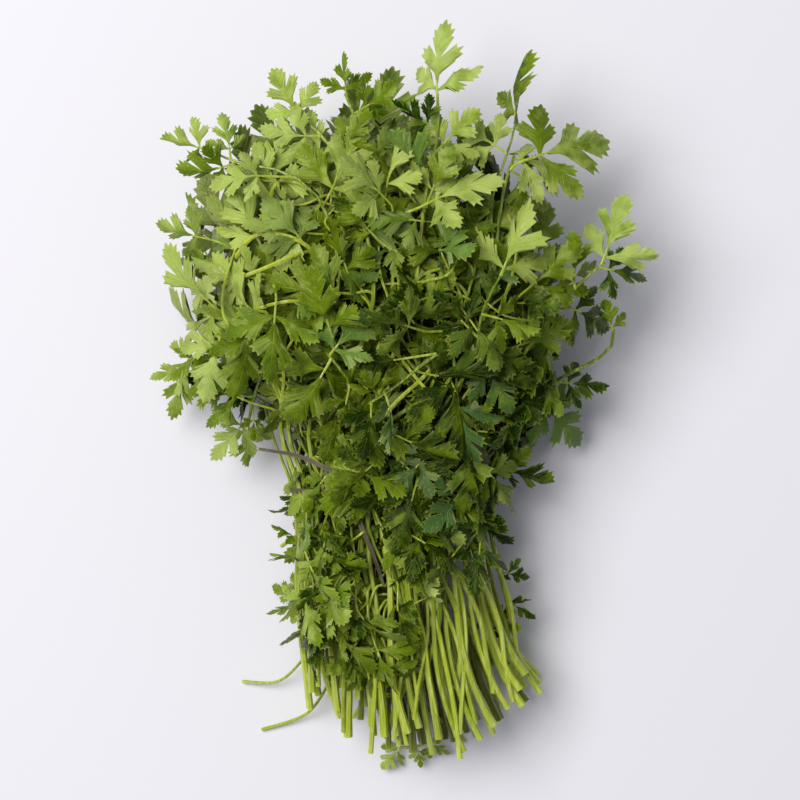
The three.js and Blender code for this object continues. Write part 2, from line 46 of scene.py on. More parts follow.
TIE_Y = -38
BUNCH_SHIFT = np.array([0.95, -2.55, 0.0])
TIED_HALF_WIDTH = 39
FAN = 0.88
FAN_START = 60
FAN_BEND = 0.35
END_SPREAD = 6
SIDE_CUT = 24
CUT_END = -105
FLOOR_LEVEL = 1.2
TIE_LIFT_RISE = 2.2
TIE_LIFT_REACH = 60
FLOOR_REACH = 0.72
STATIONS = [  # distance from the tie, height of the bunch's middle, its reach above that, its middle's X
    (-112, 17, 23, 11), (-60, 19, 25, 3.5), (0, 22, 28, -5), (40, 27, 33, -7),
    (85, 33, 38, -12), (135, 32, 36, -14), (200, 27, 26, -10),
]
MIDDLE, UP, SIDEWAYS = 1, 2, 3


def station(s, key):
    """A column of STATIONS at distance s past the tie, eased from each station to the next."""
    if s <= STATIONS[0][0]:
        return STATIONS[0][key]
    for a, b in zip(STATIONS, STATIONS[1:]):
        if s <= b[0]:
            t = (s - a[0]) / (b[0] - a[0])
            return a[key] + (b[key] - a[key]) * t * t * (3 - 2 * t)
    return STATIONS[-1][key]


def opened(s):
    """How far the bunch has opened at distance s past the tie."""
    return s * s / (s + FAN_START) if s > 0 else 0.0


def half_width(s):
    return TIED_HALF_WIDTH + (FAN * opened(s) if s > 0 else END_SPREAD * s / CUT_END)


def flow(u, v, s):
    """Where a stem at (u, v) of the bunch's cross-section has got to, at distance s past the tie."""
    middle = station(s, MIDDLE)
    near = max(0.0, 1 - abs(s) / TIE_LIFT_REACH)
    down = (middle - FLOOR_LEVEL - TIE_LIFT_RISE * near * near) / FLOOR_REACH
    z = middle + (v * station(s, UP) if v > 0 else max(v, -FLOOR_REACH) * down)
    y = s - FAN_BEND * u * u * opened(s) if s > 0 else s
    return np.array([station(s, SIDEWAYS) + u * half_width(s), TIE_Y + y, z])


def flow_round(reach, angle, s):
    """As flow, for a stem at a share of the way out from the middle, at an angle round it."""
    return flow(reach * math.cos(angle), reach * math.sin(angle), s)


def top_height(x, y):
    """How high the bunch's rounded top lies at a place on the table."""
    s, u = y - TIE_Y, 0.0
    for _ in range(12):
        u = (x - station(s, SIDEWAYS)) / half_width(s)
        s = y - TIE_Y + (FAN_BEND * u * u * opened(s) if s > 0 else 0.0)
    return station(s, MIDDLE) + math.sqrt(max(0.0, 1 - u * u)) * station(s, UP)


def draws(seed):
    """Even draws between two limits, the same ones for the same seed."""
    state = [(seed * 7919 + 12345) % 2147483647]

    def draw(low, high):
        state[0] = state[0] * 16807 % 2147483647
        return low + (high - low) * state[0] / 2147483647

    for _ in range(5):
        draw(0, 1)
    return draw


def rounded(points):
    """A smooth line through points, in eight steps from each to the next."""
    points = [np.asarray(p, float) for p in points]
    held = [points[0], *points, points[-1]]
    line = []
    for i in range(len(points) - 1):
        last = i + 2 == len(points)
        for k in range(8 + last):
            t = k / 8
            line.append(
                (-t * t * t + 2 * t * t - t) / 2 * held[i]
                + (3 * t * t * t - 5 * t * t + 2) / 2 * held[i + 1]
                + (-3 * t * t * t + 4 * t * t + t) / 2 * held[i + 2]
                + (t * t * t - t * t) / 2 * held[min(i + 3, len(held) - 1)]
            )
    return line


def thinned(line, slack=0.9):
    """The line without the points that it passes within slack of anyway."""
    first, last = line[0], line[-1]
    chord = last - first
    worst, far = 0, slack
    for i in range(1, len(line) - 1):
        t = min(1.0, max(0.0, float(np.dot(line[i] - first, chord) / np.dot(chord, chord))))
        off = float(np.linalg.norm(first + t * chord - line[i]))
        if off > far:
            worst, far = i, off
    if not worst:
        return [first, last]
    return thinned(line[: worst + 1], slack)[:-1] + thinned(line[worst:], slack)


class Run:
    """A line with its running length."""

    def __init__(self, line):
        self.line = np.array(line)
        steps = np.linalg.norm(np.diff(self.line, axis=0), axis=1)
        self.run = np.concatenate([[0.0], np.cumsum(steps)])
        self.length = float(self.run[-1])

    def along(self, distance):
        """The point at that distance, and the way ahead there."""
        d = min(max(distance, 0.0), self.length)
        i = 1
        while i + 1 < len(self.run) and self.run[i] < d:
            i += 1
        a, b = self.line[i - 1], self.line[i]
        t = (d - self.run[i - 1]) / (self.run[i] - self.run[i - 1])
        return a + (b - a) * t, (b - a) / np.linalg.norm(b - a)

    def spots(self, start, step):
        return [self.along(d)[0] for d in np.arange(start, self.length, step)]


# The stems inside the bunch lie in three rings round its middle, in lanes. A lane has a long stem and,
# where there is room, a shorter one beside it, so that leaves come out at every distance past the tie.

RINGS = [  # share of the cross-section, lanes, first lane's place in degrees, groups, more groups on top
    (0.84, 10, 18, 3, 2), (0.56, 7, 12, 2, 1), (0.26, 3, 40, 2, 0),
]
LANE_EASE = 0.17
LONGEST = 143
SIDE_LOSS = 85
SHORTER_LEAST = 42
SHORTER_STEP = 22
ROOM_FOR_TWO = 100
SEED = 41


def cut_at(u, extra):
    return CUT_END + SIDE_CUT * u * u + extra


def ring_stems():
    stems = []
    for r, (reach, lanes, start, groups, above) in enumerate(RINGS):
        for lane in range(lanes):
            even = math.radians(-90 + start + 360 * lane / lanes)
            draw = draws(SEED + 100 * r + 7 * lane)
            u0 = reach * math.cos(even + LANE_EASE * math.sin(2 * even))
            longest = LONGEST - SIDE_LOSS * abs(u0) ** 1.5
            less = SHORTER_LEAST + (SHORTER_STEP * (lane % 3) if math.sin(even) > 0 else 0)
            pair = [0, less] if longest > ROOM_FOR_TWO else [0]
            for k, shorter in enumerate(pair):
                side = (1 if k else -1) if len(pair) > 1 else 0
                a = even + side * math.pi / 2 / lanes
                a = a + LANE_EASE * math.sin(2 * a)
                end = longest - shorter - draw(0, 10)
                cut = cut_at(reach * math.cos(a), draw(0, 12))
                sway = draw(-1.5, 1.5) / TIED_HALF_WIDTH
                phase = draw(0, 6.28)
                points = []
                for s in (cut, cut * 0.5, 0, 0.25 * end, 0.5 * end, 0.75 * end, end):
                    b = a + sway * (math.sin(0.028 * s + phase) - math.sin(phase))
                    points.append(flow_round(reach, b, s))
                stems.append({
                    "node": f"leafy_stem_{len(stems) + 1:02d}", "points": points, "thick": draw(0.8, 1.1),
                    "angle": a, "drawn": groups + (above if math.sin(a) > 0.2 else 0), "draw": draw,
                })
    return stems

# The stems on top of the bunch bend out of it one by one, and their leaves make its outline. Each keeps to
# its lane until it is past the tie. Then run gives X, Y and height over the bunch, and each leaf group is
# distance back from the tip, heading from +Y towards +X, length, small stalk, pitch and roll.

LEAVE = 26
TOP_STEMS = [
    (176, LEAVE,
     [(-58, 10, -10), (-64, 21, -6)],
     [(1, -25, 25, 4, 15, 20), (4, -75, 18, 4, -5, 0), (16, -120, 15, 5, -15, 10)]),
    (155, LEAVE,
     [(-46, 11, 7), (-49, 29, 11), (-57, 35, 12), (-69, 28, 9), (-81, 18, 5)],
     [(1, -153, 24, 4, -15, 10), (4, -108, 15, 4, -5, -15), (26, -163, 25, 6, -8, -20),
      (42, 175, 25, 9, 2, 25)]),
    (147, LEAVE,
     [(-41, 4, 2), (-43, 12, 3), (-49, 16, 3), (-55, 10, 3), (-59, 0, 3), (-62, -10, 3)],
     [(1, 178, 19, 4, -15, 10), (5, -125, 21, 5, -5, -10), (10, 118, 12, 5, 0, 10)]),
    (131, LEAVE,
     [(-25, 38, 1), (-26, 62, 3), (-33, 79, 6), (-46, 88, 7), (-64, 92, 6), (-77, 98, 5)],
     [(1, -80, 16, 3, 0, 30), (12, -5, 14, 4, 15, -25), (15, -112, 21, 6, -10, 20),
      (38, -78, 20, 14, 0, -30)]),
    (123, LEAVE,
     [(-20, 3, 9), (-25, 13, 11), (-29, 18, 11)],
     [(1, 38, 23, 3, 12, 10), (3, -150, 27, 5, 2, 15), (16, 140, 19, 6, 0, -20)]),
    (115, LEAVE,
     [(-11, 38, 0), (-15, 69, 2), (-24, 93, 4), (-35, 106, 5), (-40, 110, 5)],
     [(1, -32, 20, 3, 10, 10), (12, -92, 19, 6, 0, 30), (22, 30, 17, 6, 10, 25)]),
    (107, LEAVE,
     [(-4, 38, 0), (-6, 73, 1), (-14, 98, 3), (-20, 114, 3), (-22, 119, 3)],
     [(1, -5, 15, 3, 20, 15), (9, 62, 16, 6, 5, -25), (24, -62, 18, 6, 10, 20)]),
    (99, LEAVE,
     [(4, 38, 0), (9, 77, 1), (14, 102, 2), (14, 119, 3)],
     [(1, -3, 27, 3, 8, 40), (14, -55, 17, 5, 15, 10), (24, 40, 20, 6, 10, 20)]),
    (91, LEAVE,
     [(17, 5, 7), (21, 14, 10), (18, 19, 12), (9, 14, 13), (-2, 5, 12), (-13, -2, 11)],
     [(1, -150, 23, 4, -8, 10), (5, -92, 20, 5, 5, -20), (8, 165, 24, 6, -12, 10),
      (35, -90, 22, 16, -5, 10)]),
    (75, LEAVE,
     [(25, 38, 0), (35, 77, 1), (42, 98, 2), (45, 110, 3)],
     [(1, -3, 27, 2, 10, 78), (15, -35, 24, 6, 12, -15)]),
    (67, LEAVE,
     [(28, 15, 8), (31, 33, 10), (39, 49, 11)],
     [(1, 22, 29, 3, 12, -5), (18, 105, 18, 6, 5, 10), (28, -50, 20, 7, 5, 20)]),
    (59, LEAVE,
     [(34, 38, 1), (38, 70, 1), (41, 86, 2), (44, 95, 3)],
     [(1, 60, 31, 3, 8, -5), (6, 100, 23, 5, -8, 15)]),
    (49, 6,
     [(31, -18, 6), (29, -11, 8)],
     [(1, -25, 19, 3, 8, 10), (3, 52, 17, 3, 5, 0), (16, 140, 24, 10, -8, 10)]),
    (38, LEAVE,
     [(52, 23, 3), (67, 42, 4), (80, 54, 5)],
     [(1, 20, 27, 3, 12, 30), (3, 90, 19, 4, -5, -10), (16, 8, 20, 5, 10, -20),
      (24, 110, 20, 6, -10, 10)]),
    (29, LEAVE,
     [(54, 1, 3), (65, 9, 5), (77, 15, 6), (84, 21, 6), (85, 28, 6)],
     [(1, -15, 12, 2, 15, 0), (34, 95, 17, 5, -10, 20)]),
    (19, 14,
     [(53, -6, 2), (57, 1, 3)],
     [(1, 138, 25, 4, -12, 0), (8, 60, 19, 5, -5, 20), (14, 172, 19, 6, -10, 10)]),
]


# A few stems end just past the tie, and their leaves stick out among the stalks below it. Each leaf group
# is its Y, heading, length, small stalk, pitch and roll.

LOW_STEM_END = 16
LOW_ROOT_LIFT = 0.9
LOW_STEMS = [
    (166, [(-58, 60, 20, 6, 60, 20), (-82, -112, 14, 4, -10, 20), (-66, 150, 20, 6, 60, 10)]),
    (139, [(-54, 95, 24, 6, 44, 10), (-78, 150, 25, 6, 42, -15), (-104, 120, 22, 6, 42, 10)]),
    (83, [(-52, 170, 24, 6, 42, 10), (-78, 65, 16, 6, 44, 20)]),
    (8, [(-70, 150, 14, 3, -5, 10), (-82, 142, 13, 3, -10, -20)]),
]


def lane_stem(kind, i, seed, lane, leave, thinnest, groups, lift):
    """A stem that keeps to its lane until it is past the tie."""
    draw = draws(SEED + seed + 13 * i)
    angle = math.radians(lane)
    cut = cut_at(math.cos(angle), draw(0, 14))
    sway = draw(-0.6, 0.6)
    points = []
    for k, s in enumerate((cut, cut * 0.66, cut * 0.33, 0, leave)):
        points.append(flow_round(1, angle + sway * math.sin(k * 1.9) / TIED_HALF_WIDTH, s))
    return {
        "node": f"{kind}_stem_{i + 1:02d}", "points": points, "thick": draw(thinnest, 1.05),
        "angle": angle, "groups": groups, "lift": lift, "draw": draw,
    }


def outer_stems():
    stems = []
    for i, (lane, leave, run, groups) in enumerate(TOP_STEMS):
        stem = lane_stem("top", i, 1000, lane, leave, 0.85, groups, 0.0)
        stem["points"] += [np.array([x, y, top_height(x, y) + lift]) for x, y, lift in run]
        stems.append(stem)
    for i, (lane, leaves) in enumerate(LOW_STEMS):
        groups = [(TIE_Y + LOW_STEM_END - y, *pose) for y, *pose in leaves]
        stems.append(lane_stem("low", i, 2000, lane, LOW_STEM_END, 0.9, groups, LOW_ROOT_LIFT))
    return stems


stems = outer_stems() + ring_stems()
for stem in stems:
    stem["smooth"] = Run(rounded(stem["points"]))
    stem["path"] = Run(thinned(rounded(stem["points"])))
    stem["leaves"] = []

# ---- Where the leaves sit ----
# A parsley leaf is a group of three wedge-shaped leaflets on a small stalk that grows out of the stem's
# side. Leaves push each other apart, so each is turned little by little until it is clear of the others.

LEAFLET_TURN = 64
SIDE_LEAFLET = 0.72
END_LEAFLET_START = 0.1
ARCH_FOLD = 0.16
ARCH_DROOP = 0.007
ROOT_DEPTH = 1.5
TRIES = 108
SMALLER_EACH_TRY = 0.006
MOST_GROUPS = 5
LOWEST_LEAF = 0.8
MARKS = [  # where a leaflet's space is sampled, in shares of its length
    (0, 0.3), (0, 0.52), (0, 0.76), (0, 1), (0.2, 0.42), (-0.2, 0.42),
    (0.37, 0.6), (-0.37, 0.6), (0.19, 0.66), (-0.19, 0.66),
]
# The tie's free ends and its loop, which the leaves keep clear of.
TIE_ENDS = [
    [(-20, -38, 52), (-30, -33.5, 54), (-43, -26, 48), (-57, -20, 39)],
    [(-20, -38, 52), (-16, -50, 54), (-11, -62, 52), (-7, -74, 49)],
]
TIE_GAP = 3.5
TIE_FLOOR = 0.8
TIE_FLAT = 1.15
TIE_SLANT = 3


def tie_point(angle):
    """A point of the tie's loop, at an angle round the bunch."""
    middle, sine = station(0, MIDDLE), math.sin(angle)
    rise = (station(0, UP) + TIE_GAP) * sine
    fall = (middle - TIE_FLOOR) * max(-1, TIE_FLAT * sine)
    x = station(0, SIDEWAYS) + (TIED_HALF_WIDTH + TIE_GAP) * math.cos(angle)
    return np.array([x, TIE_Y - TIE_SLANT / 2 * math.cos(angle), middle + (rise if sine > 0 else fall)])


def unit(v):
    return v / np.linalg.norm(v)


def arch_height(x, y, reach):
    past = np.maximum(0, y - reach)
    return -ARCH_FOLD * np.abs(x) - ARCH_DROOP * past * past


UP_THE_BUNCH, STRAIGHT_UP = np.array([0.0, 1, 0]), np.array([0.0, 0, 1])


def group_axes(forward, normal, heading, pitch, roll):
    """The across, along and upward axes of a leaf group, as rows."""
    across = unit(np.cross(forward, normal))
    up = unit(np.cross(across, forward))

    def turned(a, b, degrees):
        c, s = math.cos(math.radians(degrees)), math.sin(math.radians(degrees))
        return a * c + b * s, b * c - a * s

    y1, x1 = turned(np.asarray(forward, float), across, heading)
    y2, z2 = turned(y1, up, pitch)
    x3, z3 = turned(x1, z2, roll)
    return np.array([x3, y2, z3])


def leaflet_frames(reach, size):
    """Each leaflet's turn in the group's plane, the point where it starts, and its length."""
    return [
        (LEAFLET_TURN, reach, SIDE_LEAFLET * size),
        (0, reach + END_LEAFLET_START * size, (1 - END_LEAFLET_START) * size),
        (-LEAFLET_TURN, reach, SIDE_LEAFLET * size),
    ]


def in_group(x, y, turn, start, length):
    """A leaflet's point in its group's plane."""
    c, s = math.cos(math.radians(turn)), math.sin(math.radians(turn))
    return length * (x * c + y * s), start + length * (y * c - x * s)


def group_samples(root, axes, reach, size):
    spots = [(0, reach * 0.5), (0, reach + 0.06 * size)]
    for frame_of_leaflet in leaflet_frames(reach, size):
        spots += [in_group(x, y, *frame_of_leaflet) for x, y in MARKS]
    spots = np.array(spots)
    height = arch_height(spots[:, 0], spots[:, 1], reach)
    return root + np.column_stack([spots, height]) @ axes


class Taken:
    """The points that stems, leaves and the tie already hold."""

    def __init__(self):
        self.points, self.owners, self.stalks = np.zeros((0, 3)), np.zeros(0, int), np.zeros(0, bool)

    def add(self, points, owner, stalk):
        points = np.reshape(points, (-1, 3))
        self.points = np.vstack([self.points, points])
        self.owners = np.append(self.owners, np.full(len(points), owner))
        self.stalks = np.append(self.stalks, np.full(len(points), stalk))

    def room(self, samples, owner, leaf=4.6, stalk=4.2, own=3.2, own_stalk=2.0, root=3.2):
        """How far the samples are from breaking a gap, below 0 where one is broken."""
        low, high = samples.min(0) - 5, samples.max(0) + 5
        near = ((self.points > low) & (self.points < high)).all(1)
        points, mine, stalks = self.points[near], self.owners[near] == owner, self.stalks[near]
        gaps = np.where(mine, np.where(stalks, own_stalk, own), np.where(stalks, stalk, leaf))
        apart = np.linalg.norm(samples[:, None] - points[None], axis=2) - gaps
        apart[0] += gaps - np.minimum(gaps, root)
        apart[:2, mine] = 99
        return apart.min(initial=99)


taken = Taken()
TIE_OWNER = 999
for n, stem in enumerate(stems):
    taken.add(stem["path"].spots(0, 4), n, True)
for points in TIE_ENDS:
    taken.add(Run(thinned(rounded(points))).spots(0, 4), TIE_OWNER, True)
taken.add([tie_point(math.radians(degrees)) for degrees in range(0, 360, 5)], TIE_OWNER, True)


def is_clear(samples, owner):
    return samples[:, 2].min() >= LOWEST_LEAF and taken.room(samples, owner) >= 0


def keep(n, root, axes, reach, size, samples):
    stems[n]["leaves"].append((root, axes, reach, size))
    taken.add(samples, n, False)


def place_given(n):
    stem = stems[n]
    draw, path = stem["draw"], stem["path"]
    for back, heading, size, reach, pitch, roll in stem["groups"]:
        root = path.along(path.length - max(back, ROOT_DEPTH))[0] + np.array([0, 0, stem["lift"]])
        for k in range(TRIES):
            ease = k / 6
            turned = heading + ease * draw(-7, 7)
            tipped = pitch + ease * draw(-5, 7)
            rolled = roll + ease * draw(-9, 9)
            smaller = size * (1 - SMALLER_EACH_TRY * k)
            axes = group_axes(UP_THE_BUNCH, STRAIGHT_UP, turned, tipped, rolled)
            samples = group_samples(root, axes, reach, smaller)
            if is_clear(samples, n):
                keep(n, root, axes, reach, smaller, samples)
                break


def place_drawn(n, nth):
    stem = stems[n]
    draw, path = stem["draw"], stem["path"]
    out = unit(np.array([math.cos(stem["angle"]) / 90, 0, math.sin(stem["angle"]) / 45]))
    for k in range(TRIES):
        ease = 1 + k / 20
        side = 1 if (nth + k) % 2 else -1
        back = 11 + 17 * (nth - 1) + draw(0, 8 * ease) if nth else ROOT_DEPTH
        heading = side * draw(25, 75) if nth else ease * draw(-22, 22)
        pitch = ease * draw(-12, 24)
        roll = ease * draw(-32, 32)
        size = draw(26, 33) * (1 - SMALLER_EACH_TRY * k)
        reach = draw(4, 13) if nth else draw(2.5, 6)
        root, ahead = path.along(path.length - back)
        axes = group_axes(ahead, out, heading, pitch, roll)
        samples = group_samples(root, axes, reach, size)
        if is_clear(samples, n):
            keep(n, root, axes, reach, size, samples)
            return


for n, stem in enumerate(stems):
    if "groups" in stem:
        place_given(n)
for nth in range(MOST_GROUPS):
    for n, stem in enumerate(stems):
        if nth < stem.get("drawn", 0):
            place_drawn(n, nth)

# ---- Leaflets ----
# A leaflet is a thin wedge with three lobes and rounded teeth, darker and glossier above than below, with
# fine pale veins that fan out to the teeth. Each kind is shaped once here, root at the origin, one unit
# long towards +Y, and every leaflet of the bunch is a copy, curled in its own way.

# Each row goes from the midrib out to the edge: where it leaves the rib, how far out it ends, how far along.
# From the fifth on, every other row ends in a tooth, and the rows between them in a notch.
BROAD_HALF = [
    (0, 0.018, 0), (0.05, 0.06, 0.14), (0.1, 0.125, 0.26), (0.145, 0.215, 0.36),
    (0.18, 0.34, 0.415), (0.205, 0.318, 0.46), (0.235, 0.432, 0.525), (0.26, 0.365, 0.555),
    (0.285, 0.412, 0.635), (0.31, 0.318, 0.6), (0.335, 0.285, 0.665), (0.38, 0.08, 0.485),
    (0.5, 0.225, 0.765), (0.57, 0.172, 0.785), (0.64, 0.21, 0.882), (0.72, 0.135, 0.872),
    (0.8, 0.115, 0.957), (0.88, 0.055, 0.938), (1, 0.018, 1),
]
SLENDER_HALF = [
    (0, 0.018, 0), (0.05, 0.045, 0.14), (0.1, 0.085, 0.26), (0.145, 0.14, 0.35),
    (0.18, 0.222, 0.415), (0.205, 0.19, 0.455), (0.235, 0.29, 0.535), (0.26, 0.228, 0.57),
    (0.285, 0.27, 0.65), (0.31, 0.198, 0.625), (0.335, 0.175, 0.69), (0.38, 0.055, 0.505),
    (0.5, 0.165, 0.765), (0.57, 0.118, 0.785), (0.64, 0.15, 0.882), (0.72, 0.093, 0.872),
    (0.8, 0.08, 0.955), (0.88, 0.04, 0.938), (1, 0.018, 1),
]
DEEP_HALF = [
    (0, 0.018, 0), (0.04, 0.04, 0.12), (0.08, 0.085, 0.2), (0.115, 0.18, 0.28),
    (0.145, 0.305, 0.335), (0.17, 0.29, 0.38), (0.195, 0.418, 0.445), (0.22, 0.348, 0.485),
    (0.245, 0.405, 0.57), (0.265, 0.298, 0.545), (0.285, 0.272, 0.62), (0.34, 0.042, 0.41),
    (0.48, 0.212, 0.715), (0.545, 0.162, 0.74), (0.62, 0.214, 0.848), (0.7, 0.132, 0.842),
    (0.79, 0.12, 0.942), (0.88, 0.055, 0.925), (1, 0.018, 1),
]
LEAF_THICKNESS = 0.012
QUILT_UP, QUILT_DOWN = 0.010, -0.007
TOOTH_DROOP = -0.016
ACROSS = 4


class Finish:
    """A material in the making. Each step adds a node, sets or links its inputs, and gives its output."""

    def __init__(self, name):
        self.material = bpy.data.materials.new(name)
        self.material.use_nodes = True
        self.place = self.step("TexCoord", {}).node.outputs

    def give(self, socket, value):
        if isinstance(value, bpy.types.NodeSocket):
            self.material.node_tree.links.new(value, socket)
        else:
            socket.default_value = (*value, 1) if socket.type == "RGBA" else value

    def step(self, kind, inputs, out=0, **settings):
        node = self.material.node_tree.nodes.new("ShaderNode" + kind)
        for name, value in settings.items():
            setattr(node, name, value)
        for name, value in inputs.items():
            self.give(node.inputs[name], value)
        return node.outputs[out]

    def number(self, operation, a, b=0.0, c=0.0):
        return self.step("Math", {0: a, 1: b, 2: c}, operation=operation)

    def ranged(self, value, low, high, to_low, to_high, how="SMOOTHSTEP"):
        limits = {0: value, 1: low, 2: high, 3: to_low, 4: to_high}
        return self.step("MapRange", limits, interpolation_type=how)

    def mixed(self, share, a, b, blend="MIX"):
        return self.step("Mix", {0: share, 6: a, 7: b}, 2, data_type="RGBA", blend_type=blend)

    def noise(self, on, scale, detail):
        return self.step("TexNoise", {"Vector": on, "Scale": scale, "Detail": detail})

    def drawn_out(self, on, scale):
        return self.step("Mapping", {"Vector": on, "Scale": scale})

    def parts(self, vector):
        return self.step("SeparateXYZ", {0: vector}).node.outputs

    def tone(self):
        return self.parts(self.step("Attribute", {}, "Vector", attribute_name="tone"))

    def levelled(self, colour, level):
        return self.mixed(1.0, colour, self.step("CombineColor", {0: level, 1: level, 2: level}), "MULTIPLY")

    def surface(self, strength, distance, height, **inputs):
        """Sets the shader's inputs, named with _ for a space, and the bump. Gives the material."""
        inputs["Normal"] = self.step("Bump", {"Strength": strength, "Distance": distance, "Height": height})
        for name, value in inputs.items():
            self.give(self.material.node_tree.nodes["Principled BSDF"].inputs[name.replace("_", " ")], value)
        return self.material


def leaf_material(name, dark, middle, bright, painted_sheen, vein, roughness, gloss):
    """Dark to bright by the leaflet's tone, which carries painted light and shade, towards a pale blue where
    a sheen is painted, paler along its veins.
    """
    leaf = Finish(name)
    tone, spot = leaf.tone(), leaf.place["Object"]
    blade = leaf.parts(leaf.place["UV"])
    from_rib = leaf.number("ABSOLUTE", leaf.number("SUBTRACT", blade["X"], 0.5))
    rib = leaf.ranged(from_rib, 0.0, 0.035, 1.0, 0.0)
    rows = leaf.number("PINGPONG", leaf.number("MULTIPLY", blade["Y"], len(BROAD_HALF) - 1.0), 1.0)
    side_veins = leaf.ranged(rows, 0.02, 0.22, 0.75, 0.0)
    cells = {"Vector": spot, "Scale": 620}
    to_cell_edge = leaf.step("TexVoronoi", cells, "Distance", feature="DISTANCE_TO_EDGE")
    net = leaf.ranged(to_cell_edge, 0.0, 0.12, 0.28, 0.0)
    veins = leaf.number("MAXIMUM", leaf.number("MAXIMUM", rib, side_veins), net)
    mottle = leaf.ranged(leaf.noise(spot, 140, 3), 0.35, 0.7, -0.16, 0.16)
    brightness = leaf.number("ADD", tone["X"], mottle)
    # The tone runs from dark, painted shade, through middle to bright, painted sunlight that is pale with a
    # painted sheen.
    body = leaf.mixed(leaf.ranged(brightness, 0.0, 0.5, 0.0, 1.0), dark, middle)
    body = leaf.mixed(leaf.ranged(brightness, 0.5, 1.0, 0.0, 1.0), body, bright)
    # The tone's share of blue mixes in a painted sheen.
    body = leaf.mixed(tone["Z"], body, painted_sheen)
    body = leaf.mixed(leaf.ranged(from_rib, 0.44, 0.5, 0.0, 0.35), body, vein)
    vein_share = leaf.number("MULTIPLY_ADD", leaf.ranged(brightness, 0.0, 1.0, 0.0, 1.0), 0.30, 0.16)
    colour = leaf.mixed(leaf.number("MULTIPLY", veins, vein_share), body, vein)
    # The level, partly random, darkens the whole colour where shade is painted.
    return leaf.surface(
        0.5, 0.0006, leaf.number("SUBTRACT", leaf.number("MULTIPLY", leaf.noise(spot, 420, 2), 0.7), veins),
        Base_Color=leaf.levelled(colour, tone["Y"]),
        Roughness=leaf.ranged(leaf.noise(spot, 300, 2), 0.3, 0.7, roughness - 0.07, roughness + 0.07),
        Specular_IOR_Level=gloss, Specular_Tint=(1.0, 1.0, 0.6), Subsurface_Weight=0.25,
        Subsurface_Radius=(0.5, 1.0, 0.15), Subsurface_Scale=0.001)


# Each side's dark and bright colours are painted shade and sunlight, and its fourth colour is a painted
# sheen.
LEAF_TOP = leaf_material(
    "parsley leaf upper side", (0.009, 0.026, 0.0003), (0.125, 0.190, 0.005), (0.385, 0.490, 0.108),
    (0.095, 0.200, 0.055), (0.380, 0.500, 0.020), 0.28, 0.20)
LEAF_UNDER = leaf_material(
    "parsley leaf underside", (0.060, 0.105, 0.008), (0.200, 0.280, 0.030), (0.400, 0.500, 0.120),
    (0.220, 0.300, 0.130), (0.500, 0.590, 0.160), 0.55, 0.10)


def pick(mesh_in_edit, test):
    """Selects the vertices that pass test, and nothing else, in the mesh that is being edited."""
    shape = bmesh.from_edit_mesh(mesh_in_edit)
    for vertex in shape.verts:
        vertex.select = False
    shape.select_flush(False)
    for vertex in shape.verts:
        vertex.select = test(vertex)
    shape.select_flush(True)
    bmesh.update_edit_mesh(mesh_in_edit)


def open_added(name, *materials):
    """Names the shape that was just added, gives it its materials and opens it for shaping."""
    shape = bpy.context.object
    shape.name = name
    for material in materials:
        shape.data.materials.append(material)
    bpy.ops.object.mode_set(mode="EDIT")
    return shape


def move(mesh_in_edit, test, shift):
    pick(mesh_in_edit, test)
    bpy.ops.transform.translate(value=shift)


def close_smooth(degrees):
    bpy.ops.object.mode_set(mode="OBJECT")
    bpy.ops.object.shade_smooth_by_angle(angle=math.radians(degrees))


def shaped_leaflet(name, right, left):
    rows = len(right) - 1
    bpy.ops.object.select_all(action="DESELECT")
    bpy.ops.mesh.primitive_grid_add(x_subdivisions=ACROSS, y_subdivisions=rows, size=1)
    leaflet = open_added(name, LEAF_TOP, LEAF_UNDER)
    mesh = leaflet.data
    per_row = ACROSS + 1
    for row in range(rows + 1):
        first = row * per_row
        start = row / rows - 0.5
        for side, (rib, out, along) in ((1, right[row]), (-1, left[row])):
            for column in range(1, ACROSS // 2 + 1):
                share = column / (ACROSS // 2)
                index = first + ACROSS // 2 + side * column
                quilt = (QUILT_UP if row % 2 else QUILT_DOWN) if column == 1 and 0 < row < rows else 0
                droop = TOOTH_DROOP if row % 2 == 0 and column > 1 else 0
                shift = (side * (out * share - share / 2), rib + (along - rib) * share - start, quilt + droop)
                move(mesh, lambda v: v.index == index, shift)
        move(mesh, lambda v: v.index == first + ACROSS // 2, (0, right[row][0] - start, 0))
    # The underside is the same sheet turned over, joined to the upper side along the edge.
    bpy.ops.mesh.select_all(action="SELECT")
    bpy.ops.mesh.duplicate()
    bpy.ops.mesh.flip_normals()
    leaflet.active_material_index = 1
    bpy.ops.object.material_slot_assign()
    shape = bmesh.from_edit_mesh(mesh)
    for vertex in shape.verts:
        vertex.select = vertex.select and not vertex.is_boundary
    shape.select_flush(False)
    shape.select_mode = {"VERT"}
    bmesh.update_edit_mesh(mesh)
    bpy.ops.transform.translate(value=(0, 0, -LEAF_THICKNESS))
    # It is plainer than the upper side: the lines halfway from its rib to its edge go.
    upper = per_row * (rows + 1)
    halfway = (ACROSS // 4, ACROSS - ACROSS // 4)
    bpy.ops.mesh.select_mode(type="EDGE")
    shape = bmesh.from_edit_mesh(mesh)
    for edge in shape.edges:
        columns = {v.index % per_row for v in edge.verts}
        edge.select = edge.verts[0].index >= upper and len(columns) == 1 and columns <= set(halfway)
    bmesh.update_edit_mesh(mesh)
    bpy.ops.mesh.dissolve_edges(use_verts=False)
    bpy.ops.mesh.select_mode(type="VERT")
    pick(mesh, lambda v: len(v.link_edges) == 2 and len(v.link_faces) == 2)
    bpy.ops.mesh.dissolve_verts()
    bpy.ops.mesh.select_all(action="SELECT")
    bpy.ops.mesh.remove_doubles(threshold=1e-5)
    close_smooth(75)
    return leaflet


